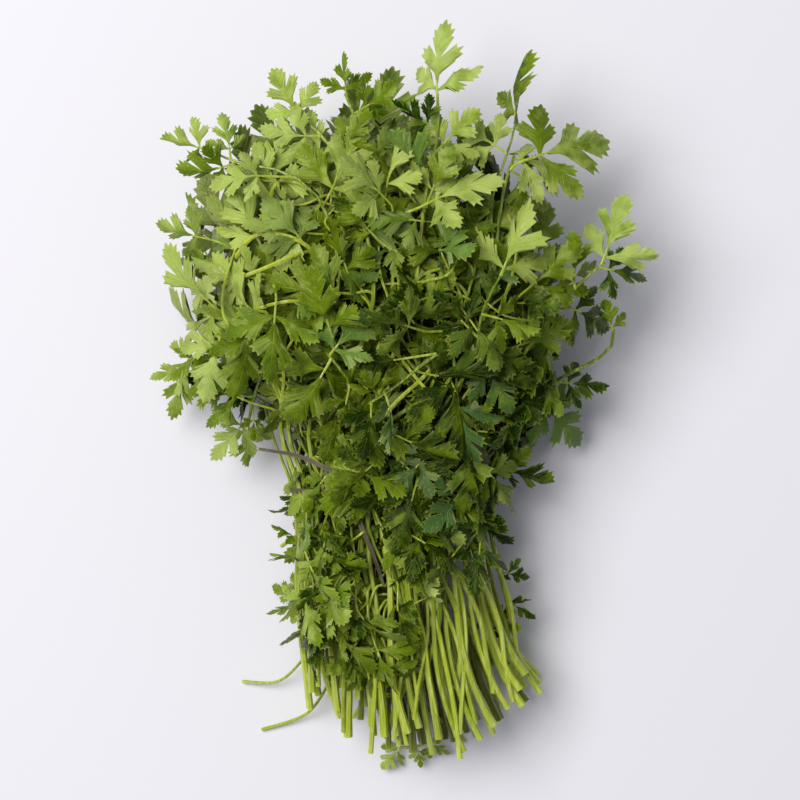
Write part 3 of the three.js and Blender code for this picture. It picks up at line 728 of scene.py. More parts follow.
BROAD = shaped_leaflet("broad leaflet", BROAD_HALF, BROAD_HALF)
DEEP = shaped_leaflet("deep-cut leaflet", DEEP_HALF, DEEP_HALF)
RIGHT_SIDE = shaped_leaflet("right-hand leaflet", BROAD_HALF, SLENDER_HALF)
LEFT_SIDE = shaped_leaflet("left-hand leaflet", SLENDER_HALF, BROAD_HALF)

# ---- Stalks ----
# A stalk is a juicy green rod with shallow ridges along it, pale green low down and paler still at its
# flat cut end. It is shaped once, a unit thick and a unit long, and bent along each stem's run.

STALK_RADIUS_CUT = 1.5
STALK_RADIUS_TIP = 0.6
STALK_STEPS = 26


def stalk_material(name, low, high, streak_and_highlight, scale, roughness):
    """From one colour low down to another near the leaves, with fine streaks along it; on the skin they are
    pale and also stand in for painted highlights.
    """
    stalk = Finish(name)
    tone = stalk.tone()
    streaks = stalk.noise(stalk.drawn_out(stalk.place["Object"], scale), 1, 3)
    share = stalk.ranged(streaks, 0.45, 0.75, 0, 0.6, "LINEAR")
    colour = stalk.mixed(share, stalk.mixed(tone["X"], low, high), streak_and_highlight)
    return stalk.surface(
        0.4, 0.0004, streaks, Base_Color=stalk.levelled(colour, tone["Y"]), Roughness=roughness,
        Specular_IOR_Level=0.5, Specular_Tint=(1.0, 1.0, 0.45), Subsurface_Weight=0.2,
        Subsurface_Radius=(0.8, 1.0, 0.3), Subsurface_Scale=0.001)


# The skin's pale streak colour is partly real streaks and partly a painted highlight.
STALK_SKIN = stalk_material(
    "parsley stalk skin", (0.520, 0.610, 0.048), (0.120, 0.205, 0.006), (0.760, 0.815, 0.290),
    (900, 45, 900), 0.22)
CUT_FACE = stalk_material(
    "parsley stalk cut face", (0.760, 0.790, 0.480), (0.700, 0.740, 0.420), (0.800, 0.800, 0.580),
    (1500, 1500, 1500), 0.6)


def shaped_rod(name, sides, steps, ridge, skin, end):
    bpy.ops.object.select_all(action="DESELECT")
    bpy.ops.mesh.primitive_circle_add(vertices=sides, radius=1, fill_type="NGON")
    rod = open_added(name, skin, end)
    mesh = rod.data
    pick(mesh, lambda v: v.index % 2 == 0)
    bpy.ops.transform.resize(value=(ridge, ridge, 1))
    bpy.ops.mesh.select_all(action="SELECT")
    bpy.ops.mesh.flip_normals()
    rod.active_material_index = 1
    bpy.ops.object.material_slot_assign()
    bpy.ops.mesh.inset(thickness=0.16)
    bpy.ops.transform.translate(value=(0, 0, 0.004))
    pick(mesh, lambda v: v.is_boundary)
    for _ in range(steps):
        bpy.ops.mesh.extrude_edges_move(TRANSFORM_OT_translate={"value": (0, 0, 1 / steps)})
    bpy.ops.mesh.edge_face_add()
    shape = bmesh.from_edit_mesh(mesh)
    for face in shape.faces:
        face.material_index = 1 if all(v.co.z < 0.01 for v in face.verts) else 0
    bmesh.update_edit_mesh(mesh)
    bpy.ops.mesh.select_all(action="SELECT")
    bpy.ops.mesh.normals_make_consistent(inside=False)
    close_smooth(50)
    return rod


STALK = shaped_rod("stalk", 12, STALK_STEPS, 0.84, STALK_SKIN, CUT_FACE)
SMALL_STALK = shaped_rod("small stalk", 6, 5, 0.9, STALK_SKIN, STALK_SKIN)
PETIOLE = shaped_rod("leaf stalk", 6, 12, 0.9, STALK_SKIN, STALK_SKIN)


def corners(shape):
    """The shape's vertices, as rows."""
    points = np.zeros(len(shape.data.vertices) * 3)
    shape.data.vertices.foreach_get("co", points)
    return points.reshape(-1, 3)


def copied(shape, place, tone):
    """A copy of a shape with each vertex where place(points) puts it, in millimetres, and its tone."""
    mesh = shape.data.copy()
    placed = (place(corners(shape)) + BUNCH_SHIFT) * 0.001
    placed[:, 2] = np.maximum(placed[:, 2], 0.0)
    mesh.vertices.foreach_set("co", placed.ravel())
    tones = mesh.attributes.new("tone", "FLOAT_VECTOR", "POINT")
    tones.data.foreach_set("vector", np.broadcast_to(np.float32(tone), placed.shape).ravel())
    made = bpy.data.objects.new(shape.name, mesh)
    bpy.context.scene.collection.objects.link(made)
    return made


def bent_rod(shape, path, radius, tone):
    """A copy of a rod shape bent along path, with radius(share of the length) round it."""

    def place(points):
        placed = []
        frames = {}
        for x, y, z in points:
            key = round(z, 4)
            if key not in frames:
                at, ahead = path.along(key * path.length)
                side = np.cross(ahead, (0, 0, 1))
                if np.linalg.norm(side) < 0.05:
                    side = np.cross(ahead, (0, 1, 0))
                side = unit(side)
                frames[key] = (at, side, np.cross(side, ahead), radius(key))
            at, side, up, thick = frames[key]
            placed.append(at + thick * (x * side + y * up))
        return np.array(placed)

    return copied(shape, place, tone)


def joined(name, parts, node):
    """One piece made of its parts, which rides on the bunch and stands for its node."""
    bpy.ops.object.select_all(action="DESELECT")
    for part in parts:
        part.select_set(True)
    bpy.context.view_layer.objects.active = parts[0]
    bpy.ops.object.join()
    piece = parts[0]
    piece.name = name
    piece.data.name = name
    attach(piece, "root")
    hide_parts(node)


# ---- Leafy stems ----
# Each stem is its stalk, bent along its run, with its leaves on their small stalks, joined to one piece.
# Painted light and shade: leaves are brightest on the sunny left, dark deep inside the bunch, where little
# light comes.

FAN_MIDDLE = (-11, 43)
FAN_REACH = (84, 82)
FAN_FOOT = -15
EDGE_LIGHT, EDGE_FADE, EDGE_LEAST = 0.7, 0.35, 0.3
DEEP_INSIDE = 17
DEEP_AMONG_STALKS = 13


def depth_share(at, deep=DEEP_INSIDE):
    """0 on top of the bunch, 1 where it is deep below the top."""
    return min(1.0, max(0.0, (top_height(at[0], at[1]) - at[2]) / deep))


def fan_share(x, y):
    """0 in the middle of the fan of leaves, 1 at its outline."""
    return np.abs((x - FAN_MIDDLE[0]) / FAN_REACH[0]) ** 3 + np.abs((y - FAN_MIDDLE[1]) / FAN_REACH[1]) ** 3


def leaf_depth(at):
    """How much painted shade a leaf gets: as depth_share, but less near the fan's outline, where light
    reaches the low leaves from the side.
    """
    if at[1] < FAN_FOOT:
        return depth_share(at)
    return depth_share(at) * min(1.0, max(EDGE_LEAST, (EDGE_LIGHT - fan_share(at[0], at[1])) / EDGE_FADE))


# A leaf's tone in the middle, and what each millimetre to the left, to the right and up the bunch adds:
# painted light, brighter to the left and up the bunch, darker to the right.
TONE, TONE_LEFT, TONE_RIGHT, TONE_UP = 0.35, 0.0072, -0.0020, 0.0070
TONE_STRAY = 0.34
PAINTED_SHADE_INSIDE = 0.86


def leaf_tone(root, axes, size, draw):
    """Tone, level and share of blue, with light and shade painted in: sunny at the left, dark at the right
    and deep inside the bunch.
    """
    at = root + 0.5 * size * axes[1]
    lit = TONE + TONE_LEFT * max(0.0, -at[0]) + TONE_RIGHT * max(0.0, at[0])
    lit += TONE_UP * max(-30.0, at[1] - 40)
    lit += draw(-TONE_STRAY, TONE_STRAY) * (0.9 if at[0] < -40 else 1)
    # The level, partly random, is painted darker the deeper the leaf lies inside the bunch.
    level = draw(0.86, 1.14) * (1 - PAINTED_SHADE_INSIDE * leaf_depth(at))
    # The share of blue paints a sheen on a few leaves.
    return min(1.1, max(0.0, lit)), level, max(0.0, draw(-4.0, 0.6))


# The limits of how a leaflet folds along its rib, droops, twists, waves, leans aside and tips.
FOLD, DROOP, TWIST = (-0.35, 0.62), (-0.1, 0.42), (-0.8, 0.8)
WAVE, LEAN, TIP = (0.02, 0.07), (-0.5, 0.5), (-0.35, 0.3)
# And of how wide it is, and how its tone and level differ from its group's.
WIDE, OWN_TONE, OWN_LEVEL = (0.88, 1.12), (-0.12, 0.12), (0.92, 1.08)
# A leaf's small stalk: how far it runs on into the leaf, how far it keeps its first way, and its radius.
INTO_LEAF = 0.14
STALK_PULL = 0.42
STALK_LEAST, STALK_MORE = 0.34, 0.009


def leaf_parts(root, axes, reach, size, draw, curl=1.0, tone=None, stalk_from=None, turned=False):
    """The small stalk and the three leaflets of one group. Where it is turned, its underside shows."""
    tone = tone or leaf_tone(root, axes, size, draw)
    parts = []
    for i, (turn, start, length) in enumerate(leaflet_frames(reach, size)):
        shape = (RIGHT_SIDE, BROAD if draw(0, 1) < 0.5 else DEEP, LEFT_SIDE)[i]
        fold, droop, twist = draw(*FOLD) * curl, draw(*DROOP) * curl, draw(*TWIST) * curl
        wave, phase = draw(*WAVE) * curl, draw(0, 6.28)
        lean, tip = draw(*LEAN) * curl, draw(*TIP) * curl
        wide = draw(*WIDE)
        own_tone = (tone[0] + draw(*OWN_TONE), tone[1] * draw(*OWN_LEVEL), tone[2])

        def place(points):
            x, y, z = points[:, 0] * wide, points[:, 1], points[:, 2]
            z = z - fold * np.abs(x) + wave * np.sin(9 * y + phase + 2.5 * np.sign(x)) * np.abs(x) * 4
            angle = twist * y + lean
            x, z = x * np.cos(angle) - z * np.sin(angle), x * np.sin(angle) + z * np.cos(angle)
            y, z = y * (1 - 0.5 * (droop * y) ** 2), z + y * (tip - droop * y)
            in_x, in_y = in_group(x, y, turn, start, length)
            height = arch_height(in_x, in_y, reach) + length * z
            return root + np.column_stack([in_x, in_y, height]) @ axes

        leaflet = copied(shape, place, own_tone)
        if turned:
            for face in leaflet.data.polygons:
                face.material_index = 1 - face.material_index
        parts.append(leaflet)
    past = reach + INTO_LEAF * size
    line = [root, root + np.array([0, reach, 0]) @ axes]
    line.append(root + np.array([0, past, float(arch_height(0, past, reach))]) @ axes)
    if stalk_from is not None:
        start, way = stalk_from
        pull = STALK_PULL * np.linalg.norm(root - start)
        first, second = start + pull * way, root - pull * axes[1]
        line = [
            (1 - t) ** 3 * start + 3 * t * (1 - t) ** 2 * first + 3 * t * t * (1 - t) * second + t ** 3 * root
            for t in (0, 0.16, 0.33, 0.5, 0.67, 0.84)
        ] + line
    thick = STALK_LEAST + STALK_MORE * size
    rod = SMALL_STALK if stalk_from is None else PETIOLE
    # The small stalk is greener and darker under a darker leaf, following the leaf's painted light and shade.
    skin_tone = (0.35 + 0.3 * (1 - min(1, tone[0])), 0.95, 0)
    parts.append(bent_rod(rod, Run(rounded(line)), lambda t: thick * (1.15 - 0.45 * t), skin_tone))
    return parts


# How far a stalk's bare end is eased aside and lifted. The stalks at the right, from SPLAY_START on,
# spread further.
ASIDE, LIFT, SNAKE = (-9, 9), (-2.5, 3.5), (-2.6, 2.6)
BARE_FROM = 6
SPLAY = 0.5
SPLAY_START = 12


def swayed(line, draw):
    """The line with its bare part below the tie eased aside, so that the stalks cross one another."""
    aside, lift, snake = draw(*ASIDE), draw(*LIFT), draw(*SNAKE)
    below = TIE_Y - BARE_FROM - line[:, 1]
    t = np.clip(below / max(1.0, below.max()), 0, 1)
    moved = line.copy()
    splay = SPLAY * max(0.0, line[0, 0] - SPLAY_START)
    moved[:, 0] += aside * t * t * (3 - 2 * t) + splay * t ** 3 + snake * np.sin(math.pi * 2 * t)
    lowest = np.minimum(moved[:, 2], FLOOR_LEVEL + 0.6)
    moved[:, 2] = np.maximum(moved[:, 2] + lift * np.sin(math.pi * t), lowest)
    return moved


# A stalk's skin is a furrow's within this share of its radius. The skin turns green from this share of
# the stalk's length on, and so quickly.
FURROW_REACH = 0.92
GREEN_FROM, GREEN_QUICKNESS = 0.3, 1.8
# How much painted shade darkens a stalk that lies deep among the others.
PAINTED_SHADE_AMONG_STALKS = 0.78


def stalk_part(path, thick, draw, tip=STALK_RADIUS_TIP, shaded=True):
    """A stalk along path. The skin turns from pale to leaf green towards the leaves, is greener and darker in
    the furrows between its pale ribs, the darkening being painted shade, and, where it is shaded, painted
    duller wherever others lie over it."""

    def radius(t):
        flare = 1 + 0.10 * math.exp(-t * path.length / 4)
        return thick * (STALK_RADIUS_CUT + (tip - STALK_RADIUS_CUT) * t) * flare

    shape = corners(STALK)
    tones = np.tile(np.float32((draw(0.0, 0.4), draw(0.84, 1.1), 0)), (len(shape), 1))
    heights = shape[:, 2]
    tones[:, 0] += 0.65 * np.clip((heights - GREEN_FROM) * GREEN_QUICKNESS, 0, 1)
    # The furrows are greener, which is their own colour, and darker, which is painted shade.
    furrows = (np.hypot(shape[:, 0], shape[:, 1]) < FURROW_REACH) & (heights > 0.01)
    tones[furrows, 0] += 0.2
    tones[furrows, 1] *= 0.84
    # Painted shade: the deeper below the bunch's top, the darker the skin.
    if shaded:
        spots = [path.along(k / STALK_STEPS * path.length)[0] for k in range(STALK_STEPS + 1)]
        shades = [depth_share(at, DEEP_AMONG_STALKS) for at in spots]
        shade = np.interp(heights * STALK_STEPS, range(STALK_STEPS + 1), shades)
        tones[:, 1] *= 1 - PAINTED_SHADE_AMONG_STALKS * shade
    return bent_rod(STALK, path, radius, tones)


STEM_SEED = 500
TURNED_ON_RINGS = 0.08
# The leaves on top that catch the eye: tone and level, which carry painted light and shade, share of blue, a
# painted sheen, and whether the pale underside shows.
PALE = (0.85, 1.1, 0.1, True)
SUNLIT_PAINTED = (0.88, 1.06, 0.0, False)
GREEN = (0.45, 1.0, 0.0, False)
SHADE_PAINTED = (0.12, 0.9, 0.0, False)
SHEEN_PAINTED = (0.5, 1.05, 0.55, False)
ON_TOP = {
    "top_stem_01": [PALE, SUNLIT_PAINTED, GREEN], "top_stem_02": [SUNLIT_PAINTED, GREEN, PALE, GREEN],
    "top_stem_03": [SUNLIT_PAINTED, PALE, GREEN], "top_stem_04": [SUNLIT_PAINTED, PALE, GREEN, PALE],
    "top_stem_05": [SHEEN_PAINTED, GREEN, GREEN], "top_stem_06": [SUNLIT_PAINTED, PALE, GREEN],
    "top_stem_07": [GREEN, GREEN, PALE], "top_stem_08": [PALE, SHADE_PAINTED, SUNLIT_PAINTED],
    "top_stem_09": [SHADE_PAINTED, GREEN, SHEEN_PAINTED, SHADE_PAINTED], "top_stem_10": [GREEN, PALE],
    "top_stem_11": [SUNLIT_PAINTED, GREEN, SHADE_PAINTED], "top_stem_12": [PALE, GREEN],
    "top_stem_13": [GREEN, SHADE_PAINTED, GREEN], "top_stem_14": [PALE, SHADE_PAINTED, GREEN, SHADE_PAINTED],
    "top_stem_15": [GREEN, SHADE_PAINTED], "top_stem_16": [SHEEN_PAINTED, SHADE_PAINTED, SHADE_PAINTED],
    "low_stem_01": [GREEN, SUNLIT_PAINTED, GREEN], "low_stem_02": [GREEN, SUNLIT_PAINTED, GREEN],
    "low_stem_03": [GREEN, PALE], "low_stem_04": [SHADE_PAINTED, SHADE_PAINTED],
}
for n, stem in enumerate(stems):
    draw = draws(STEM_SEED + n)
    held = stem["node"].startswith("low")
    path = stem["smooth"] if held else Run(swayed(stem["smooth"].line, draw))
    stem["parts"] = [stalk_part(path, stem["thick"] * draw(0.74, 1.1), draw)]
    given = ON_TOP.get(stem["node"], [])
    for k, (root, axes, reach, size) in enumerate(stem["leaves"]):
        if k < len(given):
            *tone, turned = given[k]
        else:
            tone, turned = leaf_tone(root, axes, size, draw), draw(0, 1) < TURNED_ON_RINGS
        stem["parts"] += leaf_parts(root, axes, reach, size, draw, tone=tone, turned=turned)

# ---- Leaves in between ----
# Every stem carries more leaves than the few that make the bunch's shape. They fill the fan in layers,
# from the outside in, each on a small stalk that comes from the nearest stem.

stalk_points, stalk_ways, stalk_owners = [], [], []
for n, stem in enumerate(stems):
    for d in np.arange(60, stem["path"].length, 3):
        at, ahead = stem["path"].along(d)
        stalk_points.append(at)
        stalk_ways.append(ahead)
        stalk_owners.append(n)
stalk_points, stalk_ways = np.array(stalk_points), np.array(stalk_ways)


def nearest_stalk(at):
    return int(np.argmin(np.linalg.norm(stalk_points - at, axis=1)))


def parts_beside(at):
    """The parts of the stem that runs nearest to a point."""
    return stems[stalk_owners[nearest_stalk(at)]]["parts"]


# Only the leaves that make the fan's shape stand out past its outline and that of the neck below it.
NECK_LEFT, LEFT_BELOW = -46, -10
NECK_RIGHT, RIGHT_BELOW = 45, -24


def sticks_out(samples):
    """Whether a leaf stands out past the fan or the neck."""
    x, y = samples[:, 0], samples[:, 1]
    past_neck = ((x < NECK_LEFT) & (y < LEFT_BELOW)) | ((x > NECK_RIGHT) & (y < RIGHT_BELOW))
    return bool((fan_share(x, y)[y > RIGHT_BELOW] > 1).any() or past_neck.any())


# No leaf lies over the last two thirds of the tie's free ends.
bare_ends = []
for points in TIE_ENDS:
    end = Run(rounded(points))
    bare_ends += end.spots(end.length / 3, 1.5)
bare_ends = np.array(bare_ends)
BARE_BESIDE, BARE_BELOW = 4.5, 3


def covers_tie(samples):
    """Whether a leaf lies over a free end of the tie."""
    gaps = samples[:, None] - bare_ends[None]
    beside = np.hypot(gaps[..., 0], gaps[..., 1]) < BARE_BESIDE
    return bool((beside & (gaps[..., 2] > -BARE_BELOW)).any())


# How many poses a leaf is tried in, for which it has no owner and needs no gaps yet.
POSES = 7
NOBODY = -1
NO_GAPS = (0, 0, 0, 0, 0)
TURNED_BETWEEN = 0.1
LONGEST_LEAF_STALK = 42


def add_leaf(root, forward, normal, draw, sizes, turns, tips=(-28, 34), rolls=(-52, 52), least=1.6,
             curl=1.0, tone=None, reach=(3, 8), back=13, kept_in=True):
    """Grows one more group at root, in the clearest of a few poses, if there is room for it."""
    best = None
    for _ in range(POSES):
        size, stretch = draw(*sizes), draw(*reach)
        axes = group_axes(forward, normal, draw(*turns), draw(*tips), draw(*rolls))
        samples = group_samples(root, axes, stretch, size)
        lowest = samples[:, 2].min()
        held = lowest > LOWEST_LEAF and not covers_tie(samples) and not (kept_in and sticks_out(samples))
        room = taken.room(samples, NOBODY, *NO_GAPS) if held else -1
        if best is None or room > best[0]:
            best = (room, axes, stretch, size, samples)
    room, axes, stretch, size, samples = best
    if room < least:
        return
    wanted = root - back * axes[1] - 0.4 * back * axes[2]
    nearest = nearest_stalk(wanted)
    start, way = stalk_points[nearest], stalk_ways[nearest]
    away = float(np.linalg.norm(start - root))
    if away > LONGEST_LEAF_STALK:
        return
    owner = stalk_owners[nearest]
    leaving = unit(way + 0.8 * unit(root - start))
    turned = draw(0, 1) < TURNED_BETWEEN
    stems[owner]["parts"] += leaf_parts(root, axes, stretch, size, draw, curl, tone, (start, leaving), turned)
    taken.add(samples, owner, False)


# Low leaves among the stalks: X, Y and height over the stalks of the leaf's middle, its heading from +Y
# towards +X, its length, how much it curls, and its tone, which is painted light and shade.

LOW_LEAVES = [
    (66, 102, 8, 62, 32, 0.4, 0.66), (50, -32, 6, 115, 20, 0.8, 0.2), (64, 45, 2, 80, 18, 0.8, 0.3),
    (-88, 66, 0, -75, 18, 0.8, 0.7), (-90, 3, -4, -165, 20, 0.8, 0.75), (9, -57, 9, -170, 24, 0.5, 0.85),
    (12, -77, 6, 60, 11, 0.8, 0.9), (-22, -30, 10, -150, 20, 0.8, 0.45), (-41, -37, 7, -110, 15, 0.8, 0.5),
    (-34, -38, 8, -150, 15, 0.8, 0.5), (-47, -8, 3, -150, 20, 0.8, 0.6), (-46, -47, 0, -130, 17, 1.0, 0.5),
    (-41, -60, 1, -140, 17, 1.0, 0.5), (-36, -54, 4, -150, 18, 1.3, 0.55),
    (-24, -60, 7, 165, 20, 1.2, 0.25), (-22, -46, 9, -160, 19, 1.0, 0.6), (-28, -70, 6, -125, 19, 1.5, 0.5),
    (-17, -70, 6, 170, 17, 1.2, 0.15), (-24, -82, 4, -105, 16, 1.6, 0.5), (-21, -80, 8, -160, 20, 1.6, 0.6),
    (-12, -86, 7, 140, 18, 1.4, 0.7), (-47, -79, -4, -75, 14, 1.0, 0.6), (-21, -92, 6, 165, 18, 1.6, 0.35),
    (-6, -94, 9, 130, 23, 0.9, 0.75), (-16, -98, 7, -170, 18, 1.5, 0.45), (-19, -108, 5, 155, 17, 1.5, 0.2),
    (-8, -107, 7, 165, 19, 1.3, 0.65), (-2, -114, 6, 150, 17, 1.4, 0.5), (-13, -116, 3, 175, 15, 1.5, 0.4),
    (-26, -66, 0, 150, 17, 1.5, 0.15), (-10, -76, 1, -150, 17, 1.5, 0.2),
    (-14, -102, 1, 140, 16, 1.5, 0.12), (-18, -98, 0, -150, 16, 1.5, 0.15),
    (-4, -102, 2, 165, 16, 1.4, 0.2), (35, -56, 2, 150, 18, 1.2, 0.12), (42, -88, -6, 40, 18, 0.9, 0.3),
    (38, -101, -12, 110, 13, 0.9, 0.15), (26, -52, 6, -170, 18, 1.2, 0.2),
]
LOW_TURN = 14
ROOT_TO_MIDDLE, LOW_STALK = 0.45, 3
low_draw = draws(907)
for x, y, lift, heading, size, curl, lit in LOW_LEAVES:
    ahead = np.array([math.sin(math.radians(heading)), math.cos(math.radians(heading)), 0])
    root = np.array([x, y, top_height(x, y) + lift]) - (ROOT_TO_MIDDLE * size + LOW_STALK) * ahead
    add_leaf(root, UP_THE_BUNCH, STRAIGHT_UP, low_draw, (size, size + 1),
             (heading - LOW_TURN, heading + LOW_TURN), (-25, 15), least=0.3, curl=curl, back=10,
             reach=(2, 4), tone=(lit, low_draw(0.82, 1.05), 0.0), kept_in=False)

# The layers go round the bunch's sides and top. Their leaves point away from its heart, and turn aside
# further in the middle of the crown than at its edge. A layer is its share of the cross-section, the gap
# between its leaves, how far short of the stems' ends it stops, its leaves' lengths, and the least room.

FILL_LAYERS = [
    (1.0, 11, 4, (19, 30), 1.4), (1.12, 12, 18, (19, 30), 1.4), (0.86, 12, 10, (17, 25), 0.8),
    (0.72, 14, 18, (17, 25), 0.8), (0.42, 16, 26, (17, 25), 0.8),
]
FILL_START = 6
FILL_STEP = 0.9
FILL_FROM, FILL_TURN = -42, 264
FILL_ROUND = 1.45
FILL_ASIDE = (-4, 4)
HEART_X, HEART_Y = -5, 8
CROWN_X, CROWN_Y, CROWN_REACH = -5, 30, 45
EDGE_TURN, CROWN_TURN = 75, 140
fill_draw = draws(77)
for reach, gap, short, sizes, least in FILL_LAYERS:
    s = FILL_START
    while s < LONGEST:
        wide, high = half_width(s) * reach, station(s, UP) * reach
        around = math.pi * math.sqrt((wide * wide + high * high) / 2) * FILL_ROUND
        count = max(4, int(around / gap))
        shift = fill_draw(0, 1)
        for k in range(count):
            angle = math.radians(FILL_FROM + FILL_TURN * (k + shift) / count)
            u, v = reach * math.cos(angle), reach * math.sin(angle)
            at_s = s + fill_draw(-5, 5)
            if at_s > LONGEST - SIDE_LOSS * min(1, abs(u)) ** 1.5 - short or (reach > 1 and v < 0.3):
                continue
            moved = np.array([fill_draw(*FILL_ASIDE), fill_draw(*FILL_ASIDE), fill_draw(-1, 3)])
            root = flow(u, v, at_s) + moved
            normal = unit(np.array([math.cos(angle) / 90, 0, math.sin(angle) / 45]))
            forward = root - np.array([HEART_X, HEART_Y, station(s, MIDDLE)])
            forward = forward - np.dot(forward, normal) * normal
            if np.linalg.norm(forward) < 6:
                forward = flow(u, v, at_s + 4) - flow(u, v, at_s)
            at_edge = np.hypot(root[0] - CROWN_X, root[1] - CROWN_Y) > CROWN_REACH
            turn = EDGE_TURN if at_edge else CROWN_TURN
            add_leaf(root, unit(forward), normal, fill_draw, sizes, (-turn, turn), least=least)
        s += gap * FILL_STEP

# Leaves on the top side droop back over the tie and hide most of it, further down at the left.

OVER_ROWS, OVER_COUNT = 8, 11
OVER_FROM, OVER_TURN = 34, 116
OVER_START, OVER_STEP = 12, 9
FULL_ROWS = 3
over_draw = draws(311)
for row in range(OVER_ROWS):
    for k in range(OVER_COUNT):
        angle = math.radians(OVER_FROM + OVER_TURN * (k + 0.5 * (row % 2)) / (OVER_COUNT - 0.5))
        if row > FULL_ROWS and math.cos(angle) > 0.36 - 0.2 * (row - FULL_ROWS):
            continue
        s = OVER_START - OVER_STEP * row + over_draw(-3.5, 3.5)
        over = 1.03 + 0.05 * (row % 2)
        root = flow_round(over, angle, s)
        root = root + np.array([over_draw(-3, 3), 0, 3.5 + over_draw(0, 5)])
        normal = unit(np.array([math.cos(angle) / 60, -0.004, math.sin(angle) / 45]))
        add_leaf(root, np.array([0.12 * math.cos(angle), -1.0, 0.1]), normal, over_draw, (15, 24),
                 (-80, 80), (-22, 16), least=0.5, back=-9)

# Thin stalks of the small leaves lie crosswise over the cut ends. Each goes from beside the tie, at angle a
# of the bunch's cross-section, to angle b at its end, s past the tie, and is given its thickness.

CROSSING_START = 12
THIN_TIP = 1.3
CROSSING = [
    (112, 134, -96, 0.62), (104, 88, -82, 0.5), (95, 118, -104, 0.7), (88, 60, -92, 0.6),
    (80, 104, -98, 0.55), (74, 44, -80, 0.62), (68, 92, -90, 0.5), (60, 30, -84, 0.66), (52, 70, -96, 0.55),
    (120, 98, -100, 0.52), (128, 150, -78, 0.6), (44, 14, -70, 0.6), (84, 72, -106, 0.74),
    (98, 80, -88, 0.5),
]
cross_draw = draws(1201)
for a, b, s, thick in CROSSING:
    line = []
    for t in np.linspace(1, 0, 7):
        angle = math.radians(a + (b - a) * t + 3 * math.sin(7 * t))
        over = 1.02 + 0.07 * math.sin(math.pi * t)
        line.append(flow_round(over, angle, CROSSING_START + (s - CROSSING_START) * t))
    path = Run(rounded(line))
    parts_beside(line[-1]).append(stalk_part(path, thick * cross_draw(0.85, 1.15), cross_draw, THIN_TIP))

# Single stalks that have come loose from their leaves stick out between the others: the points that each
# passes through, from its cut end, and its thickness. The second has been snapped off short.

LOOSE = [
    ([(-66, -117, 2), (-52, -117, 5), (-43, -110, 9), (-37, -100, 14), (-34, -86, 20)], 0.42),
    ([(5.5, -97, 43), (4.5, -88, 46), (2.5, -76, 48), (1.5, -60, 49), (1, -44, 46)], 1.05),
    ([(-58, -137, 1.5), (-45, -133, 3), (-37, -128, 6), (-30, -116, 12), (-28, -100, 18)], 0.45),
    ([(-49, -60, 20), (-44, -56.5, 24), (-38, -52, 28), (-32, -46, 30)], 0.5),
    ([(37, -71, 27), (35.5, -76, 26), (33, -86, 24), (30, -96, 20)], 0.5),
    ([(-20, -132, 3), (-15, -122, 8), (-12, -110, 18), (-11, -94, 28)], 0.5),
    ([(26, -142, 2), (17, -133, 4), (9, -126, 8), (2, -114, 14)], 0.55),
    ([(12, -138, 9), (9, -142.5, 6), (2, -144, 5), (-4, -142, 6), (-8, -136, 9), (-8, -122, 18)], 0.42),
    ([(-37.5, -127, 12), (-39, -112, 18), (-41, -92, 24), (-42, -72, 28), (-40, -50, 31)], 0.95),
    ([(-34, -121, 16), (-36.5, -104, 23), (-39, -86, 28), (-40, -66, 32), (-38, -46, 35)], 0.9),
    ([(-25, -130, 16), (-31, -112, 25), (-35, -92, 31), (-37, -70, 35), (-35, -50, 38)], 0.9),
    ([(56, -114, 5), (49, -106, 9), (39, -92, 16), (31, -74, 25), (26, -52, 33), (23, -40, 36)], 0.95),
    ([(51, -119, 4), (44, -108, 8), (35, -92, 14), (29, -72, 24), (26, -48, 32)], 0.9),
    ([(40, -128, 9), (35, -112, 20), (27, -90, 32), (20, -68, 44), (16, -46, 48)], 1.0),
    ([(-6, -136, 26), (0, -118, 35), (9, -96, 43), (16, -74, 47), (17, -54, 48)], 0.85),
    ([(14, -134, 27), (12, -116, 36), (5, -94, 44), (-2, -74, 49), (-5, -54, 50)], 0.8),
    ([(38, -122, 12), (34, -104, 23), (24, -84, 36), (12, -66, 46), (6, -50, 50)], 0.85),
    ([(49, -108, 14), (42, -98, 18), (34, -82, 26), (28, -62, 34), (25, -44, 38)], 0.8),
    ([(30, -130, 24), (27, -118, 29), (20, -98, 38), (17, -76, 45), (20, -54, 46)], 0.9),
    ([(22, -116, 38), (24, -100, 41), (22, -84, 45), (13, -66, 50), (6, -50, 52)], 0.85),
    ([(5, -128, 33), (8, -112, 39), (14, -94, 44), (15, -76, 48), (10, -58, 51)], 0.8),
]
for points, thick in LOOSE:
    path = Run(rounded(points))
    beside = parts_beside(path.line[-1])
    # Loose stalks lie outside the bunch and get no painted shade.
    beside.append(stalk_part(path, thick, cross_draw, THIN_TIP, False))

# Small leaves on the thin stalk that is hooked round the cut ends: distance along it, heading and length.
# They go with the stem beside the last of the loose stalks.
HOOK = 7
hooked = Run(rounded(LOOSE[HOOK][0]))
for distance, heading, size in ((4, 120, 9), (9, 170, 7), (16, -140, 10)):
    at, _ = hooked.along(distance)
    axes = group_axes(UP_THE_BUNCH, STRAIGHT_UP, heading, 10, 0)
    beside += leaf_parts(at, axes, 2, size, cross_draw, 0.8, (0.65, 1.0, 0.0))

# A few bare leaf stalks arch over the leaves on top: X and Y of the points that each passes over, and its
# radius. Both ends go down among the leaves.

